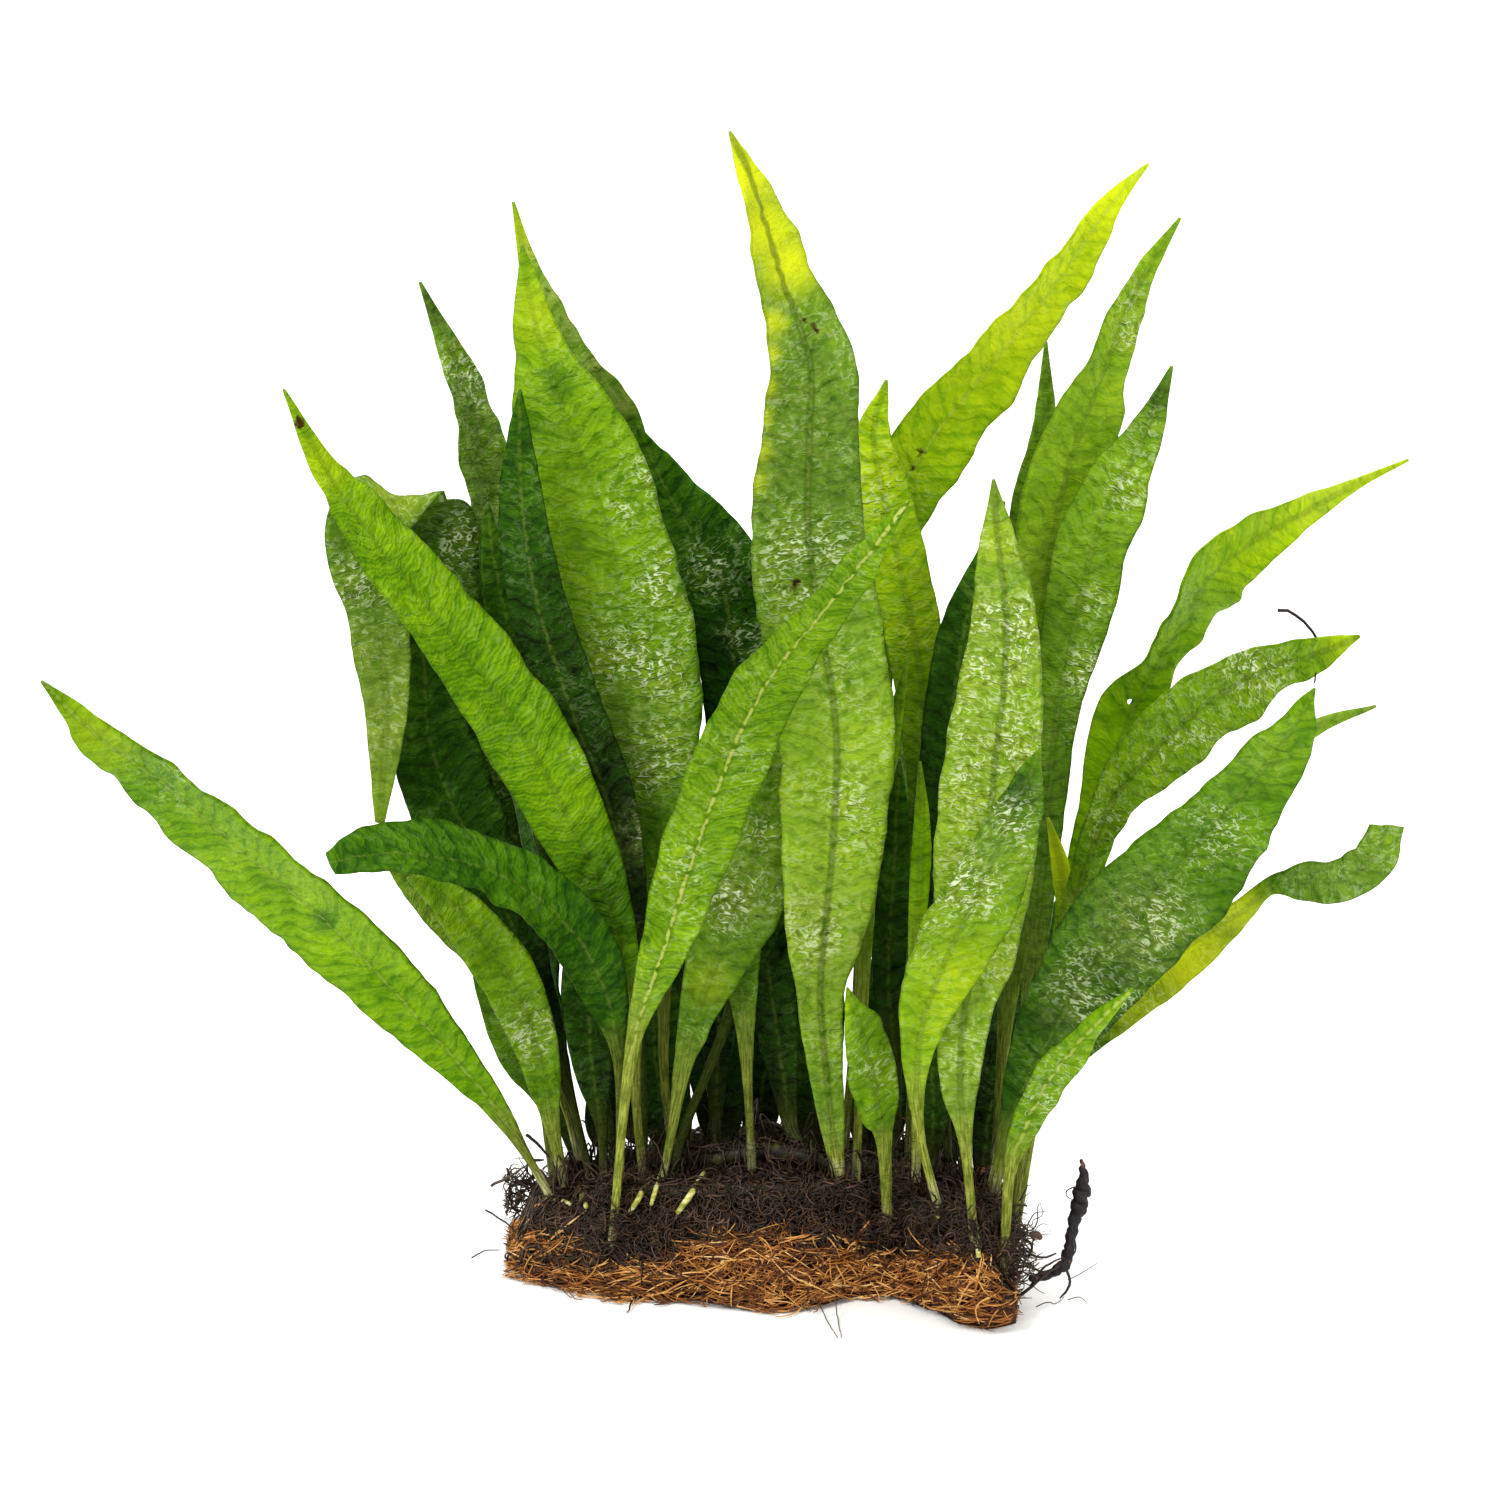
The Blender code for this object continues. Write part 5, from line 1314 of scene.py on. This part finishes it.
# Shrivelled root: black with light brown crinkles
HUSK_STOPS = ((0.0, "#070505"), (0.55, "#1d1415"), (0.75, "#5b4038"), (1.0, "#a98a78"))
husk = fibre_finish("shrivelled_root", HUSK_STOPS, (1, 1, 0.5), 1.3, 0.6, 0.6)
tubes("stray_root_skin", [(route, thickness)], 1.0, 2, husk, "stray_root")

# %% Sprigs
SPRIGS = (
    # thickness in mm, depth, places (across, up)
    (0.9, -27, ((62, 2.5), (66, 5), (70, 8.5), (74, 11))),
    (0.7, -26, ((66.5, 6), (68.5, 9), (71, 11.5), (75, 13))),
    (0.8, -24, ((75.5, 11), (76.5, 7), (75.5, 4.5), (74, 3))),
    (0.25, -25, ((76, 7.5), (80, 9.5), (83.5, 12))),
    (0.5, -23, ((76, 20), (77.5, 18), (78, 15), (76.5, 12))),
    (0.35, -22, ((78.3, 31), (76, 30), (75.6, 28.5), (77, 27.5))),
    (1.0, -20, ((61, 24), (63, 20), (62, 16), (64, 12))),
    (0.9, -20, ((60, 20), (64, 18.5), (67, 16), (66, 13))),
    (0.8, -22, ((61, 14), (65, 15), (69, 13), (73, 14))),
    (0.7, -22, ((62, 10), (66, 11), (70, 9.5), (74, 12))),
    (0.6, -21, ((63, 22), (66, 20), (65, 17), (68, 14))),
    (0.5, -21, ((61, 18), (63, 14), (67, 11), (69, 12))),
    (2.4, -20, ((66.6, 18.4), (68, 18.8), (69.4, 18))),
    (0.5, -20, ((64, 19), (66, 18.6), (67, 18.4))),
    (0.3, -20, ((66, 21), (67.5, 24), (70, 24.6))),
    (0.3, -26, ((68, 0.8), (71, 2), (73, 1.6), (75, 3.4))),
    (0.25, -24, ((76, 2.6), (79, 3), (81, 1.4))),
    (1.0, -12, ((61.5, 44), (61, 38), (61.5, 33))),
    (0.8, 6, ((-68.2, 31), (-63.3, 33.5), (-59, 36.5))),
    (0.6, 7, ((-64.2, 35.5), (-62.8, 32.5), (-59.7, 27))),
    (0.4, 7, ((-62.8, 33.5), (-58.8, 30.3))),
    (0.8, 8, ((-57.5, 37.3), (-55, 37.6))),
    (0.9, 10, ((-59.5, 43.8), (-56, 41), (-53.7, 38))),
    (0.5, 10, ((-55.3, 34.5), (-52.3, 30))),
    (0.5, 5, ((-69.7, 25.2), (-65.5, 22.5), (-62, 19.3))),
    (0.4, 5, ((-73, 13), (-70.5, 14.6), (-66, 15))),
    (0.5, -20, ((-33, 2.4), (-34.2, -0.6))),
    (0.3, -26, ((14, 1), (16, -3), (18.5, -7))),
    (0.35, -27, ((18, 3), (18.4, -2), (19.4, -7))),
    (0.9, 2, ((128.5, 175), (131, 174.6), (135, 172), (138.5, 167), (138.2, 162), (137.5, 157))),
)
sprigs = []
for thick, depth, places in SPRIGS:
    ends = [seen_at(across, up, depth) for across, up in places]
    ends = [end if end.z > 0.3 else lay(place[0], place[1], 0.1) for end, place in zip(ends, places)]
    count = 10
    line = []
    for k in range(count + 1):
        at = spline(ends, k / count)
        line.append(at + 0.35 * Vector((noise.noise(at / 2), 0, noise.noise(at / 2 + VIEW * 50))))
    sprigs.append((line, [thick / 2 * (1 - 0.5 * (k / count) ** 2) for k in range(count + 1)]))
tubes("root_sprigs", sprigs, 1.0, 1, root_wire)

# %% Pale stubs of old stalks
STUBS = (
    # places (across, up), thickness in mm
    (((-29.4, 34), (-30.8, 29), (-33.6, 24.5)), 1.5),
    (((-15, 34.5), (-18, 29.5), (-21.6, 24.5)), 1.7),
    (((43.3, 28), (43.2, 25.5), (43.4, 23.5)), 1.6),
    (((59.8, 29), (59.4, 22.5), (59.2, 16.5)), 2.2),
    (((53, 21.5), (53.3, 17), (53.6, 13.5)), 1.5),
    (((-49, 38), (-45.2, 32), (-44.4, 26)), 1.7),
    (((-25.6, 35), (-27, 30.5), (-28.2, 26.5)), 1.3),
    (((-57, 27), (-52.5, 28), (-48, 26.5)), 1.5),
)
STUB_STOPS = ((0.0, "#5c5a1c"), (0.35, "#a9a548"), (0.7, "#dcdca0"), (1.0, "#f2f0cf"))
stub_skin = fibre_finish("pale_old_stalk", STUB_STOPS, (0.6, 0.6, 2.0), 2.6, 0.4, 0.2)
stubs = []
for places, thick in STUBS:
    ends = [lay(across, up, 2.0) for across, up in places]
    line = [spline(ends, k / 8) for k in range(9)]
    stubs.append((line, [thick / 2 * (0.55 + 0.45 * math.sin(0.4 + 0.28 * k)) for k in range(9)]))
tubes("stalk_stubs", stubs, 1.0, 2, stub_skin)

# %% [markdown]
# ## Size
# The box around the dressed plant is measured, leaving out the floor and hidden pieces.

# %% Sizes
low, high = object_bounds()
